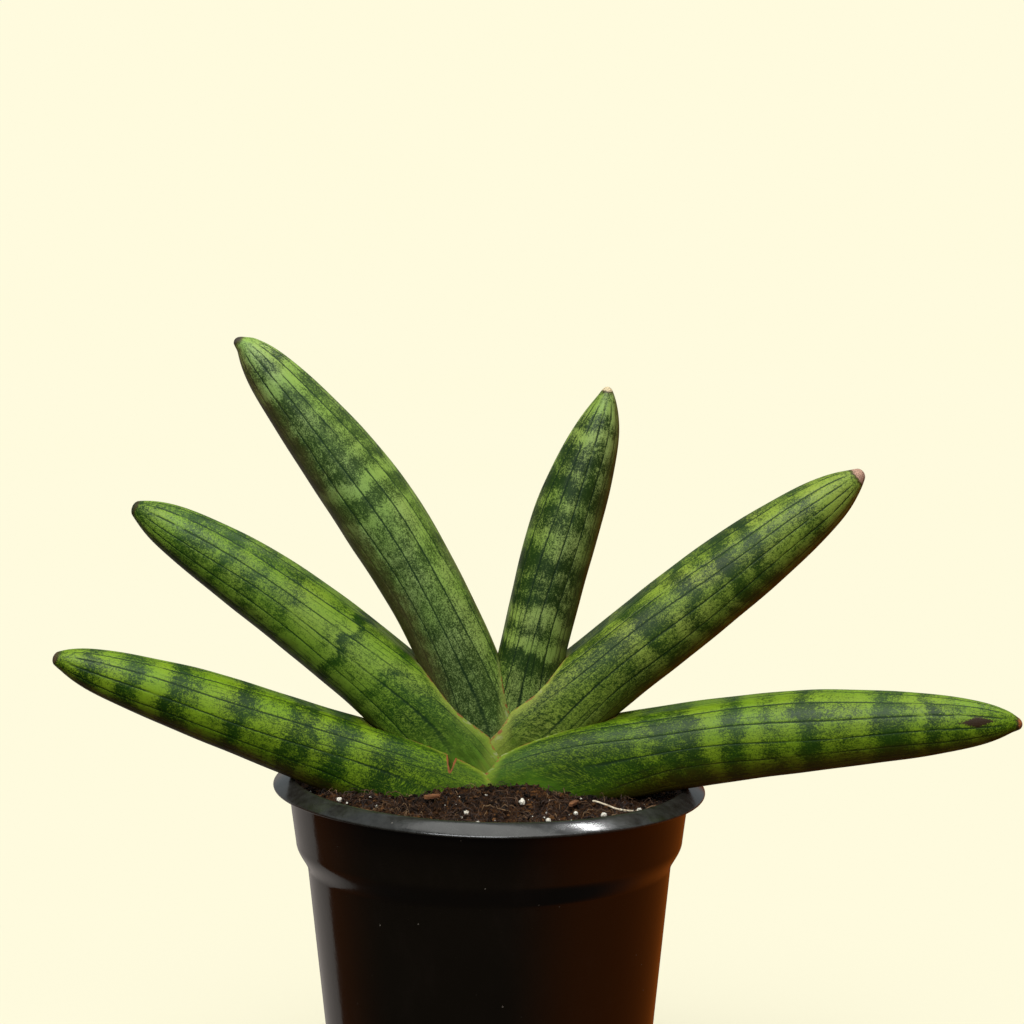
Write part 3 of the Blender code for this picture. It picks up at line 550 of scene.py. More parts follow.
    rough = sh.span(fleck, 0.2, 0.8, 0.40, 0.54)
    rough = sh.math("ADD", rough, sh.math("MULTIPLY", lines, 0.15))
    rough = sh.math("ADD", rough, sh.math("MULTIPLY", dry, 0.3))
    rough = sh.math("SUBTRACT", rough, sh.math("MULTIPLY", base_share, 0.09), clamp=True)
    sh.link(rough, sh.bsdf.inputs["Roughness"])
    sh.bsdf.inputs["Specular IOR Level"].default_value = 0.19
    relief = sh.math("SUBTRACT", sh.math("MULTIPLY", grain, 0.6), sh.math("MULTIPLY", lines, 0.5))
    relief = sh.math("ADD", relief, sh.math("MULTIPLY", streak, 0.35))
    sh.link(sh.bump(relief, 0.5, 0.00016), sh.bsdf.inputs["Normal"])
    return sh.mat


def torn_notch():
    """The wedge that a small V-shaped tear takes out of the outermost sheath's edge."""
    near = [(-11.1, 124.2), (-8.4, 124.2), (-8.9, 122.0), (-9.5, 120.9), (-9.7, 119.7), (-10.4, 118.5), (-10.55, 119.6), (-10.85, 120.6), (-10.8, 121.8)]
    shift = (-0.55, -7.3)
    points = [(x * MM, -0.034, z * MM) for x, z in near] + [((x + shift[0]) * MM, -0.001, (z + shift[1]) * MM) for x, z in near]
    n = len(near)
    faces = [tuple(range(n)), tuple(range(2 * n - 1, n - 1, -1))] + [(i, n + i, n + (i + 1) % n, (i + 1) % n) for i in range(n)]
    uvs = {"across": [(10.0, 3.0)] * (2 * n), "along": [(26.0, 0.02)] * (2 * n)}
    notch = mesh_from("sheath_tear", points, faces, uvs, smooth_shade=False)
    bm = bmesh.new()
    bm.from_mesh(notch.data)
    bmesh.ops.recalc_face_normals(bm, faces=bm.faces)
    if bm.calc_volume(signed=True) < 0.0:
        bmesh.ops.reverse_faces(bm, faces=bm.faces)
    bmesh.ops.triangulate(bm, faces=bm.faces)
    bm.to_mesh(notch.data)
    bm.free()
    return notch


def make_leaves():
    coarse = np.linspace(0.0, 2.0 * math.pi, 97)[:-1]
    forms, made, cutters = {}, {}, {}
    for index, name in enumerate(INNER_TO_OUTER):
        form = forms[name] = Leaf(**LEAVES[name], **TIPS[name])
        theta = line_angles(form.lines)
        seed = 1.3 * index + 0.7
        reach = form.length - 0.02
        u = np.linspace(0.0, 1.0, 216)
        s = reach * np.sin(0.5 * math.pi * u) ** 0.86
        leaf = form.closed(name + "_leaf", s, theta, flute=0.08, swell=0.035, seed=seed)
        inner = list(cutters.values())
        if inner:
            # How thin the sheath is: the distance to the nearest leaf inside it.
            count = len(leaf.data.vertices)
            spots = np.empty(count * 3)
            leaf.data.vertices.foreach_get("co", spots)
            spots = spots.reshape(-1, 3)
            rows = np.nonzero(s < 72.0)[0]
            near = np.full(count, 3.0)
            trees = [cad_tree(c) for c in inner]
            for v in range(0, (rows[-1] + 1) * len(theta)):
                best = 0.003
                for tree in trees:
                    hit = tree.find_nearest(spots[v], best)
                    if hit[0] is not None:
                        best = min(best, hit[3])
                near[v] = best / MM
            loops = np.empty(len(leaf.data.loops), np.int32)
            leaf.data.loops.foreach_get("vertex_index", loops)
            layer = leaf.data.uv_layers["along"]
            values = np.empty(len(loops) * 2, np.float32)
            layer.uv.foreach_get("vector", values)
            values = values.reshape(-1, 2)
            values[:, 1] = near[loops]
            layer.uv.foreach_set("vector", values.ravel())
            for cutter in inner:
                modifier = leaf.modifiers.new("clasp", "BOOLEAN")
                modifier.operation = "DIFFERENCE"
                modifier.solver = "MANIFOLD"
                modifier.object = cutter
            tear = None
            if name == "leaf_far_left":
                tear = torn_notch()
                modifier = leaf.modifiers.new("tear", "BOOLEAN")
                modifier.operation, modifier.solver, modifier.object = "DIFFERENCE", "MANIFOLD", tear
            applied(leaf)
            if tear:
                bpy.data.objects.remove(tear, do_unlink=True)
            keep_largest(leaf)
        cut_s = (form.length - 0.3) * np.sin(0.5 * math.pi * np.linspace(0.0, 1.0, 200)) ** 0.9
        cutter = form.closed(name + "_space", cut_s, coarse, drop=0.9, tip_beyond=0.2, grow=0.24, ragged=0.10, seed=seed)
        values = np.empty(len(cutter.data.loops) * 2, np.float32)
        cutter.data.uv_layers["along"].uv.foreach_get("vector", values)
        values[1::2] = 0.1
        cutter.data.uv_layers["along"].uv.foreach_set("vector", values)
        cutters[name] = cutter
        leaf.data.shade_smooth()
        leaf.data.set_sharp_from_angle(angle=math.radians(60.0))
        finished(leaf, leaf_material(name, form, SKINS[name], seed), name + "_skin", name)
        made[name] = leaf
    for cutter in cutters.values():
        bpy.data.objects.remove(cutter, do_unlink=True)
    return forms, made


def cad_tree(obj):
    from mathutils.bvhtree import BVHTree

    mesh = obj.data
    return BVHTree.FromPolygons([v.co.copy() for v in mesh.vertices], [tuple(p.vertices) for p in mesh.polygons])


def keep_largest(obj):
    bm = bmesh.new()
    bm.from_mesh(obj.data)
    left, bodies = set(bm.verts), []
    while left:
        stack, body = [left.pop()], []
        while stack:
            vert = stack.pop()
            body.append(vert)
            for edge in vert.link_edges:
                other = edge.other_vert(vert)
                if other in left:
                    left.discard(other)
                    stack.append(other)
        bodies.append(body)
    bodies.sort(key=len, reverse=True)
    for body in bodies[1:]:
        bmesh.ops.delete(bm, geom=body, context="VERTS")
    bm.to_mesh(obj.data)
    bm.free()


# ---------------------------------------------------------------- pot
def body_radius(z):
    return BASE_RADIUS + (STEP_RADIUS - BASE_RADIUS) * z / (POT_HEIGHT - STEP_LOW)


def inner_radius(z):
    below = POT_HEIGHT - z
    if below < BAND_LOW:
        return BAND_TOP_RADIUS - WALL + (BAND_LOW_RADIUS - BAND_TOP_RADIUS) * below / BAND_LOW
    if below < STEP_LOW:
        return BAND_LOW_RADIUS - WALL - (BAND_LOW_RADIUS - STEP_RADIUS) * float(smooth((below - BAND_LOW) / (STEP_LOW - BAND_LOW)))
    return body_radius(z) - WALL


def arc(cx, cz, radius, start, end, count):
    return [(cx + radius * math.cos(math.radians(start + (end - start) * i / count)), cz + radius * math.sin(math.radians(start + (end - start) * i / count))) for i in range(count + 1)]


def pot_profile():
    top = POT_HEIGHT
    flat = LIP_INNER_RADIUS + 0.9
    wide = RIM_RADIUS - flat
    outer = [(LIP_INNER_RADIUS, top), (LIP_INNER_RADIUS + 0.3, top + 0.07), (LIP_INNER_RADIUS + 0.6, top + 0.06)]
    outer += [(flat + wide * share, top - LIP_FALL * share**1.2) for share in np.linspace(0.0, 0.84, 12)]
    outer += arc(RIM_RADIUS - 0.45, top - LIP_FALL - 0.25, 0.45, 55.0, -90.0, 12)
    outer += [(flat + wide * share, top - LIP_FALL * share**1.2 - 1.25) for share in (0.75, 0.64, 0.52, 0.4, 0.3)]
    outer += [(BAND_TOP_RADIUS + 0.5, top - 2.0), (BAND_TOP_RADIUS + 0.2, top - 2.22), (BAND_TOP_RADIUS + 0.05, top - 2.6)]
    for i in range(1, 13):
        share = i / 12.0
        outer += [(BAND_TOP_RADIUS + (BAND_LOW_RADIUS - BAND_TOP_RADIUS) * share, top - 2.6 - (BAND_LOW - 2.6) * share)]
    for i in range(1, 13):
        share = i / 12.0
        outer += [(BAND_LOW_RADIUS + (STEP_RADIUS - BAND_LOW_RADIUS) * float(smooth(share * 0.86) / smooth(0.86)), top - BAND_LOW - (STEP_LOW - BAND_LOW) * share)]
    outer += [(body_radius(top - STEP_LOW - 0.5), top - STEP_LOW - 0.5)]
    for z in np.linspace(top - STEP_LOW - 4.0, CORNER + 2.0, 16):
        outer += [(body_radius(z), z)]
    outer += arc(body_radius(CORNER) - CORNER, CORNER, CORNER, 0.0, -90.0, 8)
    outer += [(36.0, 0.0), (34.0, 0.0), (20.0, 0.0), (0.0, 0.0)]
    inner = [(0.0, FLOOR), (20.0, FLOOR), (34.0, FLOOR)]
    inner += arc(body_radius(CORNER) - CORNER, CORNER, CORNER - WALL, -90.0, 0.0, 5)
    for z in np.linspace(CORNER + 2.0, top - STEP_LOW, 16):
        inner += [(inner_radius(z), z)]
    for i in range(11, -1, -1):
        z = top - BAND_LOW - (STEP_LOW - BAND_LOW) * i / 12.0
        inner += [(inner_radius(z), z)]
    inner += [(inner_radius(z), z) for z in (top - 16.0, top - 13.0, top - 10.0, top - 7.0, top - 4.0)]
    inner += arc(LIP_INNER_RADIUS, top - 1.0, LIP_INNER_RADIUS - inner_radius(top - 1.0), 180.0, 100.0, 6)
    return outer + inner


def make_pot():
    profile = pot_profile()
    count = 288
    angles = np.arange(count) * 2.0 * math.pi / count
    points, rings = [], []
    for r, z in profile:
        if r == 0.0:
            rings.append([len(points)])
            points.append((0.0, 0.0, z))
            continue
        rings.append(list(range(len(points), len(points) + count)))
        for angle in angles:
            x, y = r * math.cos(angle), r * math.sin(angle)
            lift = 0.0
            if z > POT_HEIGHT - SAG_REACH:
                share = float(smooth((z - POT_HEIGHT + SAG_REACH) / (SAG_REACH - LIP_HEIGHT)))
                side = math.cos(angle)
                lift = -share * (LIP_DROP + LIP_TILT * side + LIP_SAG * side * side)
                if r > LIP_INNER_RADIUS:
                    lift += 0.10 * math.sin(5.0 * angle + 0.4) * (r - LIP_INNER_RADIUS) / 5.5
            points.append((x, y, z + lift))
    faces = []
    for a, b in zip(rings, rings[1:] + rings[:1]):
        if len(a) == 1 and len(b) == 1:
            continue
        for i in range(count):
            j = (i + 1) % count
            if len(a) == 1:
                faces.append((a[0], b[j], b[i]))
            elif len(b) == 1:
                faces.append((a[i], a[j], b[0]))
            else:
                faces.append((a[i], a[j], b[j], b[i]))
    pot = mesh_from("pot_body", [(x * MM, y * MM, z * MM) for x, y, z in points], faces)
    bm = bmesh.new()
    bm.from_mesh(pot.data)
    bmesh.ops.recalc_face_normals(bm, faces=bm.faces)
    if bm.calc_volume(signed=True) < 0.0:
        bmesh.ops.reverse_faces(bm, faces=bm.faces)
    bm.to_mesh(pot.data)
    bm.free()
    holes = []
    for i in range(DRAIN_HOLES):
        angle = 2.0 * math.pi * (i + 0.5) / DRAIN_HOLES
        bm = bmesh.new()
        bmesh.ops.create_cone(bm, cap_ends=True, segments=40, radius1=DRAIN_RADIUS * MM, radius2=DRAIN_RADIUS * MM, depth=8.0 * MM, matrix=Matrix.Translation((DRAIN_RING * MM * math.cos(angle), DRAIN_RING * MM * math.sin(angle), 0.0)))
        mesh = bpy.data.meshes.new(f"hole_{i}")
        bm.to_mesh(mesh)
        bm.free()
        hole = bpy.data.objects.new(f"hole_{i}", mesh)
        bpy.context.scene.collection.objects.link(hole)
        modifier = pot.modifiers.new("hole", "BOOLEAN")
        modifier.operation, modifier.solver, modifier.object = "DIFFERENCE", "MANIFOLD", hole
        holes.append(hole)
    applied(pot)
    for hole in holes:
        bpy.data.objects.remove(hole, do_unlink=True)
    pot.data.shade_smooth()
    pot.data.set_sharp_from_angle(angle=math.radians(50.0))

    sh = Shader("pot_plastic_look")
    at = sh.object_coords()
    cloud = sh.noise(at, 38.0, 3.0, 0.6)
    smear = sh.noise(sh.scaled(at, 1.0, 1.0, 0.22), 120.0, 3.0, 0.65)
    peel = sh.noise(at, 900.0, 2.0, 0.5)
    grit = sh.voronoi(at, 230.0)
    dust = sh.math("MULTIPLY", sh.step(grit, 0.075, 0.03), sh.step(sh.noise(at, 90.0, 2.0, 0.5), 0.50, 0.60))
    film = sh.step(sh.noise(sh.scaled(at, 1.0, 1.0, 0.6), 60.0, 4.0, 0.7), 0.45, 0.8)
    high = sh.node("ShaderNodeSeparateXYZ")
    sh.link(at, high.inputs[0])
    out = sh.node("ShaderNodeVectorMath", operation="LENGTH")
    sh.link(sh.scaled(at, 1.0, 1.0, 0.0), out.inputs[0])
    lip = sh.math("MAXIMUM", sh.step(out.outputs["Value"], 0.0561, 0.0565), sh.step(high.outputs[2], 0.1073, 0.1080))
    base = sh.mix(cloud, (0.0030, 0.0021, 0.0010, 1.0), (0.0058, 0.0040, 0.0022, 1.0))
    base = sh.mix(sh.math("MULTIPLY", film, 0.12), base, linear((44, 34, 30)))
    base = sh.mix(sh.math("MULTIPLY", dust, 0.55), base, linear((120, 110, 98)))
    # Potting dust dulls the lip, and the grey laid on it is partly dust and partly a painted grey reflection of the
    # sky.
    lip_dust_and_grey_sheen = sh.math("MULTIPLY", lip, sh.span(sh.noise(at, 420.0, 3.0, 0.7), 0.3, 0.7, 0.12, 0.42))
    base = sh.mix(lip_dust_and_grey_sheen, base, linear((62, 62, 58)))
    sh.link(base, sh.bsdf.inputs["Base Color"])
    rough = sh.span(smear, 0.25, 0.75, 0.08, 0.15)
    rough = sh.math("ADD", rough, sh.math("MULTIPLY", film, 0.06))
    rough = sh.math("ADD", rough, sh.math("MULTIPLY", lip_dust_and_grey_sheen, 0.20))
    rough = sh.math("ADD", rough, sh.math("MULTIPLY", dust, 0.5), clamp=True)
    sh.link(rough, sh.bsdf.inputs["Roughness"])
    sh.bsdf.inputs["Specular IOR Level"].default_value = 0.5
    relief = sh.math("ADD", sh.math("MULTIPLY", peel, 0.25), sh.math("MULTIPLY", cloud, 2.4))
    sh.link(sh.bump(relief, 0.3, 0.0002), sh.bsdf.inputs["Normal"])
    finished(pot, sh.mat, "pot_plastic", "pot")
    return pot


# ---------------------------------------------------------------- soil and what lies on it
def soil_height(x, y):
    radius = math.hypot(x - CROWN_X, y)
    mound = 1.0 - float(smooth((radius - 12.0) / MOUND_RADIUS))
    bank = BANK_HEIGHT * math.exp(-(((x - BANK_X) / BANK_LONG) ** 2) - ((y - BANK_Y) / BANK_WIDE) ** 2)
    lumps = noise.noise(Vector((x * 0.11, y * 0.11, 3.7))) * 1.1
    fade = 1.0 - float(smooth((math.hypot(x, y) - 46.0) / 6.0))
    return -SOIL_EDGE + (SOIL_EDGE - SOIL_CROWN - 0.5) * mound + bank + lumps * fade


def rough_height(x, y):
    """The soil's surface with its clods, in mm from the rim."""
    p = Vector((x, y, 0.0))
    clods = abs(noise.noise(p * 0.31)) * 1.5 + noise.noise(p * 0.75 + Vector((9.0, 2.0, 1.0))) * 0.85
    crumbs = noise.noise(p * 1.9 + Vector((3.0, 5.0, 7.0))) * 0.6 + noise.noise(p * 4.1) * 0.3
    fade = 1.0 - 0.6 * float(smooth((math.hypot(x, y) - 50.0) / 3.5))
    return soil_height(x, y) + (clods - 0.45 + crumbs) * fade


def soil_shader(name, light=1.0, island=False):
    sh = Shader(name)
    at = sh.object_coords()
    big = sh.noise(at, 170.0, 4.0, 0.65)
    small = sh.noise(at, 950.0, 3.0, 0.7)
    thread = sh.noise(sh.scaled(at, 1.0, 0.25, 1.0), 1300.0, 3.0, 0.6, 0.4)
    base = sh.ramp(big, [(0.25, linear((10 * light, 5 * light, 2 * light))), (0.5, linear((31 * light, 17 * light, 7 * light))), (0.75, linear((57 * light, 34 * light, 14 * light)))])
    base = sh.mix(sh.math("MULTIPLY", sh.step(small, 0.50, 0.68), 0.6), base, linear((84 * light, 53 * light, 24 * light)))
    base = sh.mix(sh.math("MULTIPLY", sh.step(small, 0.46, 0.34), 0.7), base, linear((10 * light, 5 * light, 3 * light)))
    base = sh.mix(sh.math("MULTIPLY", sh.step(thread, 0.60, 0.72), 0.5), base, linear((106 * light, 71 * light, 35 * light)))
    if island:
        per = sh.node("ShaderNodeNewGeometry").outputs["Random Per Island"]
        base = sh.mix(sh.step(per, 0.78, 1.0), base, linear((92, 60, 30)))
        base = sh.mix(sh.step(per, 0.50, 0.05), base, linear((11, 6, 3)))
    sh.link(base, sh.bsdf.inputs["Base Color"])
    sh.link(sh.span(small, 0.2, 0.8, 0.78, 1.0), sh.bsdf.inputs["Roughness"])
    sh.bsdf.inputs["Specular IOR Level"].default_value = 0.12
    sh.link(sh.bump(sh.math("ADD", small, thread), 0.9, 0.0005), sh.bsdf.inputs["Normal"])
    return sh.mat


def make_soil():
    rings, count = 132, 440
    points, rows = [(CROWN_X, 0.0, rough_height(CROWN_X, 0.0) + POT_HEIGHT)], [[0]]
    edge = inner_radius(POT_HEIGHT - SOIL_EDGE) - 0.3
    for i in range(1, rings + 1):
        r = edge * (i / rings) ** 0.85
        row = []
        for j in range(count):
            angle = 2.0 * math.pi * j / count
            x, y = r * math.cos(angle), r * math.sin(angle)
            row.append(len(points))
            points.append((x, y, rough_height(x, y) + POT_HEIGHT))
        rows.append(row)
    gap = 0.3
    down = [(inner_radius(z) - gap, z) for z in (POT_HEIGHT - SOIL_EDGE - 4.0, POT_HEIGHT - 14.0, POT_HEIGHT - BAND_LOW + 1.0, POT_HEIGHT - STEP_LOW + 1.0, 70.0, 45.0, 20.0, CORNER + 4.0)]
    down += [(inner_radius(CORNER) - 1.9, FLOOR + 0.9), (inner_radius(CORNER) - 3.6, FLOOR + 0.4), (20.0, FLOOR + 0.4)]
    for k, (r, z) in enumerate(down):
        row = []
        for j in range(count):
            angle = 2.0 * math.pi * j / count
            wob = 0.0 if k == 0 else 0.12 * noise.noise(Vector((math.cos(angle) * 9.0, math.sin(angle) * 9.0, z * 0.2)))
            row.append(len(points))
            points.append(((r - abs(wob)) * math.cos(angle), (r - abs(wob)) * math.sin(angle), z))
        rows.append(row)
    rows.append([len(points)])
    points.append((0.0, 0.0, FLOOR + 0.4))
    faces = []
    for a, b in zip(rows, rows[1:]):
        for i in range(count):
            j = (i + 1) % count
            if len(a) == 1:
                faces.append((a[0], b[i], b[j]))
            elif len(b) == 1:
                faces.append((a[j], a[i], b[0]))
            else:
                faces.append((a[j], a[i], b[i], b[j]))
    soil = mesh_from("soil_bed", [(x * MM, y * MM, z * MM) for x, y, z in points], faces)
    finished(soil, soil_shader("peat_look"), "peat", "soil")

    rng = np.random.default_rng(7)
    bm = bmesh.new()
    bmesh.ops.create_icosphere(bm, subdivisions=1, radius=1.0)
    ball = np.array([v.co[:] for v in bm.verts])
    ball_faces = np.array([[v.index for v in f.verts] for f in bm.faces])
    bm.free()

    def scatter(total, reach, low, high, power, shape_noise, sink, flat, ball, ball_faces, stretch=1.6):
        spots, tris, base = [], [], 0
        for _ in range(total):
            r = reach * math.sqrt(rng.random())
            a = rng.random() * 2.0 * math.pi
            x, y = r * math.cos(a), r * math.sin(a)
            size = low + (high - low) * rng.random() ** power
            scale = np.array((size * (1.0 + (stretch - 1.0) * rng.random()), size, size * (flat + (1.0 - flat) * rng.random())))
            bump = 1.0 + shape_noise * (rng.random(len(ball)) - 0.5)
            turn = Matrix.Rotation(rng.random() * 6.28, 3, "Z") @ Matrix.Rotation((rng.random() - 0.5) * 1.2, 3, "X") @ Matrix.Rotation((rng.random() - 0.5) * 1.2, 3, "Y")
            shape = (ball * bump[:, None] * scale) @ np.array(turn).T
            z = rough_height(x, y) + POT_HEIGHT + size * sink
            shape = shape + np.array((x, y, z))
            spots.append(shape)
            tris.append(ball_faces + base)
            base += len(ball)
        return np.concatenate(spots) * MM, np.concatenate(tris)

    points, faces = scatter(1100, 51.5, 0.25, 1.0, 2.4, 0.8, 0.2, 0.5, ball, ball_faces)
    crumbs = mesh_from("soil_crumbs", points, faces, smooth_shade=False)
    crumb_look = soil_shader("peat_crumb_look", 0.95, island=True)
    finished(crumbs, crumb_look, "peat")
    phi = (1.0 + math.sqrt(5.0)) / 2.0
    chunk = np.array([(-1, phi, 0), (1, phi, 0), (-1, -phi, 0), (1, -phi, 0), (0, -1, phi), (0, 1, phi), (0, -1, -phi), (0, 1, -phi), (phi, 0, -1), (phi, 0, 1), (-phi, 0, -1), (-phi, 0, 1)]) / math.hypot(1.0, phi)
    chunk_faces = np.array([(0, 11, 5), (0, 5, 1), (0, 1, 7), (0, 7, 10), (0, 10, 11), (1, 5, 9), (5, 11, 4), (11, 10, 2), (10, 7, 6), (7, 1, 8), (3, 9, 4), (3, 4, 2), (3, 2, 6), (3, 6, 8), (3, 8, 9), (4, 9, 5), (2, 4, 11), (6, 2, 10), (8, 6, 7), (9, 8, 1)])
    points, faces = scatter(7500, 51.8, 0.12, 0.5, 1.8, 0.9, 0.35, 0.5, chunk, chunk_faces, 2.4)
    grit = mesh_from("soil_grit", points, faces, smooth_shade=False)
    finished(grit, crumb_look, "peat")

    bm = bmesh.new()
    bmesh.ops.create_icosphere(bm, subdivisions=2, radius=1.0)
    fine_ball = np.array([v.co[:] for v in bm.verts])
    fine_faces = np.array([[v.index for v in f.verts] for f in bm.faces])
    bm.free()
    points, faces = scatter(230, 51.0, 0.12, 0.62, 2.6, 0.4, 0.45, 0.7, fine_ball, fine_faces, 1.4)
    specks = mesh_from("perlite_specks", points, faces)
    white = perlite_shader()
    finished(specks, white, "perlite")

    # Fine roots and peat fibres, lying loosely over the surface.
    points, faces = [], []
    for _ in range(2600):
        r = 50.0 * math.sqrt(rng.random())
        a = rng.random() * 2.0 * math.pi
        x, y = r * math.cos(a), r * math.sin(a)
        heading = rng.random() * 2.0 * math.pi
        length = 1.2 + 5.0 * rng.random() ** 1.7
        bend = (rng.random() - 0.5) * 1.6
        thick = 0.06 + 0.12 * rng.random() ** 2
        lift = 0.3 + 1.5 * rng.random() ** 1.5
        segments = 7
        base = len(points)
        for k in range(segments):
            t = k / (segments - 1.0)
            direction = heading + bend * (t - 0.5) + 0.5 * math.sin(5.0 * t + heading)
            if k:
                x += math.cos(direction) * length / (segments - 1)
                y += math.sin(direction) * length / (segments - 1)
            if math.hypot(x, y) > 52.3:
                scale = 52.3 / math.hypot(x, y)
                x, y = x * scale, y * scale
            z = rough_height(x, y) + lift * math.sin(math.pi * (0.15 + 0.7 * t)) + POT_HEIGHT
            radius = thick * (1.0 - 0.6 * abs(2.0 * t - 1.0))
            side = Vector((-math.sin(direction), math.cos(direction), 0.0))
            for c in range(4):
                angle = math.pi / 2.0 * c
                p = Vector((x, y, z)) + (side * math.cos(angle) + Vector((0.0, 0.0, 1.0)) * math.sin(angle)) * radius
                points.append(p * MM)
        for k in range(segments - 1):
            for c in range(4):
                a0, a1 = base + 4 * k + c, base + 4 * k + (c + 1) % 4
                faces.append((a0, a1, a1 + 4, a0 + 4))
        faces.append((base + 3, base + 2, base + 1, base))
        end = base + 4 * (segments - 1)
        faces.append((end, end + 1, end + 2, end + 3))
    fibres = mesh_from("soil_fibres", points, faces)
    sh = Shader("peat_fibre_look")
    per = sh.node("ShaderNodeNewGeometry").outputs["Random Per Island"]
    at = sh.object_coords()
    base = sh.ramp(per, [(0.0, linear((20, 10, 5))), (0.5, linear((52, 31, 15))), (0.88, linear((92, 62, 34))), (1.0, linear((134, 104, 68)))])
    base = sh.mix(sh.math("MULTIPLY", sh.noise(at, 1800.0, 2.0, 0.6), 0.5), base, linear((40, 24, 14)))
    sh.link(base, sh.bsdf.inputs["Base Color"])
    sh.bsdf.inputs["Roughness"].default_value = 0.85
    sh.link(sh.bump(sh.noise(at, 3000.0, 2.0, 0.6), 0.5, 0.0002), sh.bsdf.inputs["Normal"])
    finished(fibres, sh.mat, "peat")
    return white


def perlite_shader():
    sh = Shader("perlite_look")
    at = sh.object_coords()
    pits = sh.voronoi(at, 1900.0)
    stain = sh.noise(at, 420.0, 3.0, 0.6)
    # Painted shade: the pits of the bumped surface are painted a darker grey brown.
    base = sh.mix(sh.step(pits, 0.42, 0.1), linear((206, 200, 184)), linear((140, 128, 108)))
    base = sh.mix(sh.math("MULTIPLY", sh.step(stain, 0.5, 0.75), 0.5), base, linear((150, 122, 92)))
    sh.link(base, sh.bsdf.inputs["Base Color"])
    sh.link(sh.span(stain, 0.2, 0.8, 0.7, 0.95), sh.bsdf.inputs["Roughness"])
    sh.link(sh.bump(pits, 0.8, 0.0003), sh.bsdf.inputs["Normal"])
    return sh.mat


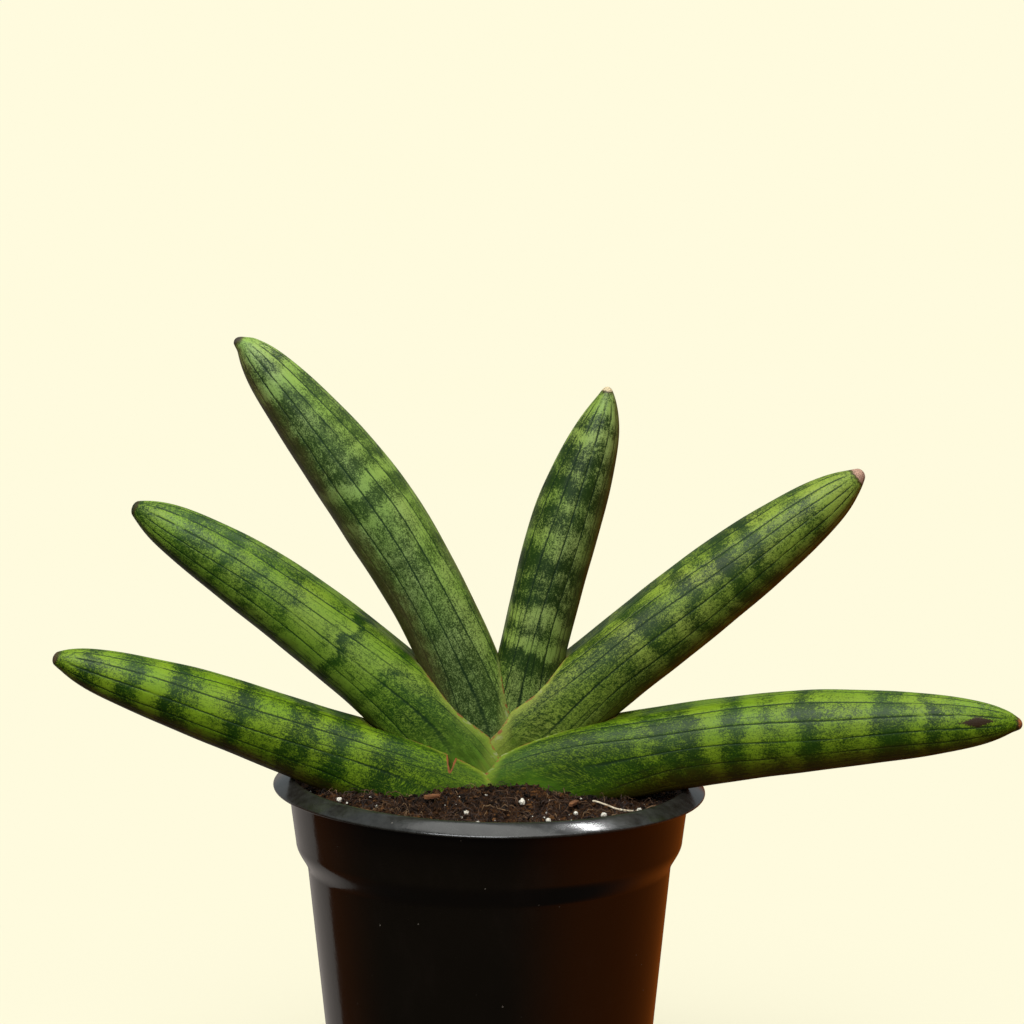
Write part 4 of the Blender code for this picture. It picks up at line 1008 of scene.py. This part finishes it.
def make_loose(white):
    names = [n for n in node_names() if n.startswith("perlite_")]
    for i, name in enumerate(sorted(names)):
        low, high = (Vector(c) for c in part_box(name))
        centre, half = (low + high) / 2.0, (high - low) / 2.0
        bm = bmesh.new()
        bmesh.ops.create_icosphere(bm, subdivisions=4, radius=1.0)
        for vert in bm.verts:
            d = vert.co.normalized()
            q = d * 1.6 + Vector((3.1 * i, 1.7, 0.0))
            size = 0.90 + 0.30 * noise.noise(q) + 0.20 * noise.noise(q * 2.1) - 0.16 * max(0.0, noise.noise(q * 5.5)) + 0.05 * noise.noise(q * 11.0)
            vert.co = centre + Vector((d.x * half.x, d.y * half.y, d.z * half.z)) * size
        mesh = bpy.data.meshes.new(name + "_grain")
        bm.to_mesh(mesh)
        bm.free()
        mesh.shade_smooth()
        grain = bpy.data.objects.new(name + "_grain", mesh)
        bpy.context.scene.collection.objects.link(grain)
        finished(grain, white, "perlite", name)

    sh = Shader("bark_look")
    at = sh.object_coords()
    grainy = sh.noise(sh.scaled(at, 0.35, 1.0, 1.6), 900.0, 4.0, 0.7, 0.3)
    blotch = sh.noise(at, 260.0, 3.0, 0.6)
    base = sh.ramp(grainy, [(0.25, linear((50, 26, 11))), (0.5, linear((104, 62, 27))), (0.78, linear((150, 100, 50)))])
    base = sh.mix(sh.math("MULTIPLY", sh.step(blotch, 0.45, 0.75), 0.6), base, linear((90, 48, 22)))
    sh.link(base, sh.bsdf.inputs["Base Color"])
    sh.link(sh.span(blotch, 0.2, 0.8, 0.7, 0.95), sh.bsdf.inputs["Roughness"])
    sh.link(sh.bump(grainy, 0.9, 0.0004), sh.bsdf.inputs["Normal"])
    cad = {name: bpy.data.objects[name] for name in node_names() if name.startswith("bark_")}
    for i, (name, source) in enumerate(sorted(cad.items())):
        chip = bpy.data.objects.new(name + "_chip", source.data.copy())
        chip.matrix_world = source.matrix_world
        bpy.context.scene.collection.objects.link(chip)
        bm = bmesh.new()
        bm.from_mesh(chip.data)
        bmesh.ops.remove_doubles(bm, verts=bm.verts, dist=1e-6)
        bmesh.ops.subdivide_edges(bm, edges=bm.edges, cuts=2, use_grid_fill=True)
        bmesh.ops.subdivide_edges(bm, edges=bm.edges, cuts=1, use_grid_fill=True)
        bm.normal_update()
        for vert in bm.verts:
            q = vert.co / MM
            vert.co += vert.normal * MM * (0.11 * noise.noise(Vector((q.x * 0.9, q.y * 2.4, q.z * 3.0 + i))) + 0.05 * noise.noise(q * 4.0))
        bm.to_mesh(chip.data)
        bm.free()
        chip.data.shade_smooth()
        chip.data.set_sharp_from_angle(angle=math.radians(50.0))
        finished(chip, sh.mat, "bark", name)

    # The pale dead root.
    low, high = (Vector(c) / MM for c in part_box("rootlet"))
    points, faces = [], []
    count, sides = 70, 10
    for k in range(count):
        t = k / (count - 1.0)
        x = low.x + 0.25 + (high.x - low.x - 0.5) * t
        y = -22.5 - 2.2 * math.sin(3.0 * t)
        z = soil_height(x, y) + 0.95 + 0.35 * math.sin(5.0 * t) + POT_HEIGHT
        radius = (0.30 - 0.10 * abs(2.0 * t - 1.0) ** 2 + 0.05 * math.sin(19.0 * t) * math.sin(7.0 * t + 1.0)) * (1.0 if 0 < k < count - 1 else 0.4)
        slope = -6.6 * math.cos(3.0 * t) / 15.0
        side = Vector((-slope, 1.0, 0.0)).normalized()
        for c in range(sides):
            angle = 2.0 * math.pi * c / sides
            points.append((Vector((x, y, z)) + (side * math.cos(angle) + Vector((0.0, 0.0, 1.0)) * math.sin(angle)) * radius) * MM)
    for k in range(count - 1):
        for c in range(sides):
            a0, a1 = sides * k + c, sides * k + (c + 1) % sides
            faces.append((a0, a1, a1 + sides, a0 + sides))
    faces.append(tuple(range(sides - 1, -1, -1)))
    faces.append(tuple(range(sides * (count - 1), sides * count)))
    root = mesh_from("rootlet_strand", points, faces)
    sh = Shader("dead_root_look")
    at = sh.object_coords()
    mottle = sh.noise(sh.scaled(at, 0.4, 1.0, 1.0), 1500.0, 3.0, 0.6)
    base = sh.ramp(mottle, [(0.3, linear((132, 108, 78))), (0.6, linear((206, 192, 164)))])
    sh.link(base, sh.bsdf.inputs["Base Color"])
    sh.link(sh.span(mottle, 0.2, 0.8, 0.65, 0.9), sh.bsdf.inputs["Roughness"])
    sh.link(sh.bump(mottle, 0.6, 0.0002), sh.bsdf.inputs["Normal"])
    finished(root, sh.mat, "dead_root", "rootlet")


def node_names():
    return [entry["node"] for entry in frame["record"]["subparts"]]


def dress_rhizome():
    sh = Shader("rhizome_look")
    at = sh.object_coords()
    rings = sh.noise(sh.scaled(at, 1.0, 1.0, 4.0), 160.0, 3.0, 0.6)
    spots = sh.noise(at, 700.0, 3.0, 0.6)
    base = sh.ramp(rings, [(0.3, linear((170, 98, 44))), (0.7, linear((214, 150, 84)))])
    base = sh.mix(sh.math("MULTIPLY", sh.step(spots, 0.5, 0.7), 0.5), base, linear((96, 54, 26)))
    sh.link(base, sh.bsdf.inputs["Base Color"])
    sh.link(sh.span(spots, 0.2, 0.8, 0.55, 0.8), sh.bsdf.inputs["Roughness"])
    sh.link(sh.bump(rings, 0.6, 0.0006), sh.bsdf.inputs["Normal"])
    stock = bpy.data.objects["rhizome"]
    for slot in stock.material_slots:
        slot.material = sh.mat


# ---------------------------------------------------------------- stage, light and camera
def make_stage():
    # One sheet: a round floor that curves up into a wall a long way off on every side.
    bend, back, tall, around = 1.2, 3.4, 4.6, 96
    line = [(0.4, 0.0), (1.2, 0.0), (back - bend, 0.0)]
    line += [(back - bend + bend * math.sin(math.radians(a)), bend - bend * math.cos(math.radians(a))) for a in range(6, 91, 6)]
    line += [(back, tall)]
    points = [(0.0, 0.0, 0.0)]
    for r, z in line:
        points += [(r * math.cos(2.0 * math.pi * i / around), r * math.sin(2.0 * math.pi * i / around), z) for i in range(around)]
    faces = [(0, 1 + i, 1 + (i + 1) % around) for i in range(around)]
    for row in range(len(line) - 1):
        for i in range(around):
            j = (i + 1) % around
            faces.append((1 + row * around + i, 1 + (row + 1) * around + i, 1 + (row + 1) * around + j, 1 + row * around + j))
    sheet = mesh_from("backdrop", points, faces)
    # It glows evenly, and near the pot it also takes a soft shadow.
    sh = Shader("backdrop_paper")
    at = sh.object_coords()
    tone = sh.mix(sh.noise(at, 3.0, 2.0, 0.5), linear((255, 251, 221)), linear((255, 251, 223)))
    away = sh.node("ShaderNodeVectorMath", operation="LENGTH")
    sh.link(at, away.inputs[0])
    near = sh.math("MULTIPLY", sh.step(away.outputs["Value"], 0.30, 0.05), 0.5)
    sh.link(sh.mix(near, (0.0, 0.0, 0.0, 1.0), linear((222, 214, 186))), sh.bsdf.inputs["Base Color"])
    sh.bsdf.inputs["Roughness"].default_value = 1.0
    sh.bsdf.inputs["Specular IOR Level"].default_value = 0.0
    sh.link(sh.mix(near, tone, (0.0, 0.0, 0.0, 1.0)), sh.bsdf.inputs["Emission Color"])
    sh.bsdf.inputs["Emission Strength"].default_value = 1.0
    sheet.data.materials.append(sh.mat)
    sheet.visible_diffuse = False
    sheet.visible_glossy = False
    sheet.visible_shadow = False


def lamp(name, at, look, size, power, colour, spread=180.0):
    data = bpy.data.lights.new(name, "AREA")
    data.shape = "RECTANGLE"
    data.size, data.size_y = size
    data.energy = power
    data.color = colour
    data.spread = math.radians(spread)
    obj = bpy.data.objects.new(name, data)
    obj.location = at
    obj.rotation_euler = (Vector(look) - Vector(at)).to_track_quat("-Z", "Y").to_euler()
    bpy.context.scene.collection.objects.link(obj)
    return obj


def make_lights():
    middle = (0.0, 0.0, 0.14)
    lamp("key", (-0.15, -0.75, 1.3), middle, (0.8, 0.6), 22.0, (0.96, 0.98, 1.0))
    lamp("top", (0.1, 0.1, 1.5), middle, (1.1, 0.6), 4.5, (1.0, 0.99, 0.95))
    lamp("front_fill", (-0.3, -1.5, 0.75), middle, (1.2, 0.5), 9.0, (0.92, 0.97, 1.0))
    lamp("spark", (0.547, 0.522, 1.39), (0.028, -0.051, 0.107), (0.26, 0.05), 4.0, (1.0, 1.0, 1.0))

    # The room, as radiance over directions: a pale window behind on the left, warm dimness on the right, soft sky above.
    world = bpy.data.worlds.new("soft_room")
    world.use_nodes = True
    tree = world.node_tree
    back = tree.nodes["Background"]
    sh = Shader.__new__(Shader)
    sh.tree = tree
    direction = sh.node("ShaderNodeTexCoord").outputs["Generated"]
    axis = sh.node("ShaderNodeSeparateXYZ")
    sh.link(direction, axis.inputs[0])
    x, y, z = axis.outputs
    heading = sh.math("ARCTAN2", sh.math("MULTIPLY", x, -1.0), sh.math("MULTIPLY", y, -1.0))  # 0 in front, growing to the left
    left = lambda a, b: sh.step(heading, math.radians(a), math.radians(b))
    low = sh.math("MULTIPLY", sh.step(z, -0.85, -0.55), sh.step(z, 0.55, 0.25))
    window = sh.math("MULTIPLY", sh.math("MULTIPLY", left(124.2, 126.2), left(177.0, 165.0)), low)
    by_window = sh.math("MULTIPLY", sh.math("MULTIPLY", left(70.0, 118.0), left(126.2, 124.2)), low)
    warm = sh.math("MULTIPLY", sh.math("MULTIPLY", left(-8.0, -70.0), left(-178.0, -166.0)), low)
    behind = sh.math("MULTIPLY", sh.step(y, 0.45, 0.85), sh.math("MULTIPLY", sh.step(z, 0.02, 0.12), sh.step(z, 0.60, 0.30)))
    sky = sh.step(z, 0.05, 0.85)
    colour = sh.mix(sky, (0.035, 0.030, 0.026, 1.0), (0.38, 0.44, 0.47, 1.0))
    colour = sh.mix(window, colour, (0.39, 0.35, 0.32, 1.0))
    colour = sh.mix(by_window, colour, (0.13, 0.045, 0.018, 1.0))
    colour = sh.mix(warm, colour, (0.27, 0.066, 0.009, 1.0))
    colour = sh.mix(behind, colour, (0.30, 0.33, 0.34, 1.0))
    sh.link(colour, back.inputs[0])
    back.inputs[1].default_value = 1.0
    bpy.context.scene.world = world


def make_camera():
    data = bpy.data.cameras.new("camera")
    data.sensor_width = 36.0
    data.lens = 129.22
    data.clip_end = 50.0
    obj = bpy.data.objects.new("camera", data)
    obj.location = (0.0063165, -1.0, 0.33485)
    obj.rotation_euler = (math.radians(90.0 - 8.5835), 0.0, 0.0)
    bpy.context.scene.collection.objects.link(obj)
    bpy.context.scene.camera = obj


make_pot()
white_look = make_soil()
make_loose(white_look)
make_leaves()
dress_rhizome()
make_stage()
make_lights()
make_camera()
settings = bpy.context.scene.view_settings
settings.view_transform = "Standard"
settings.look = "None"
settings.exposure = 0.0
settings.gamma = 1.0
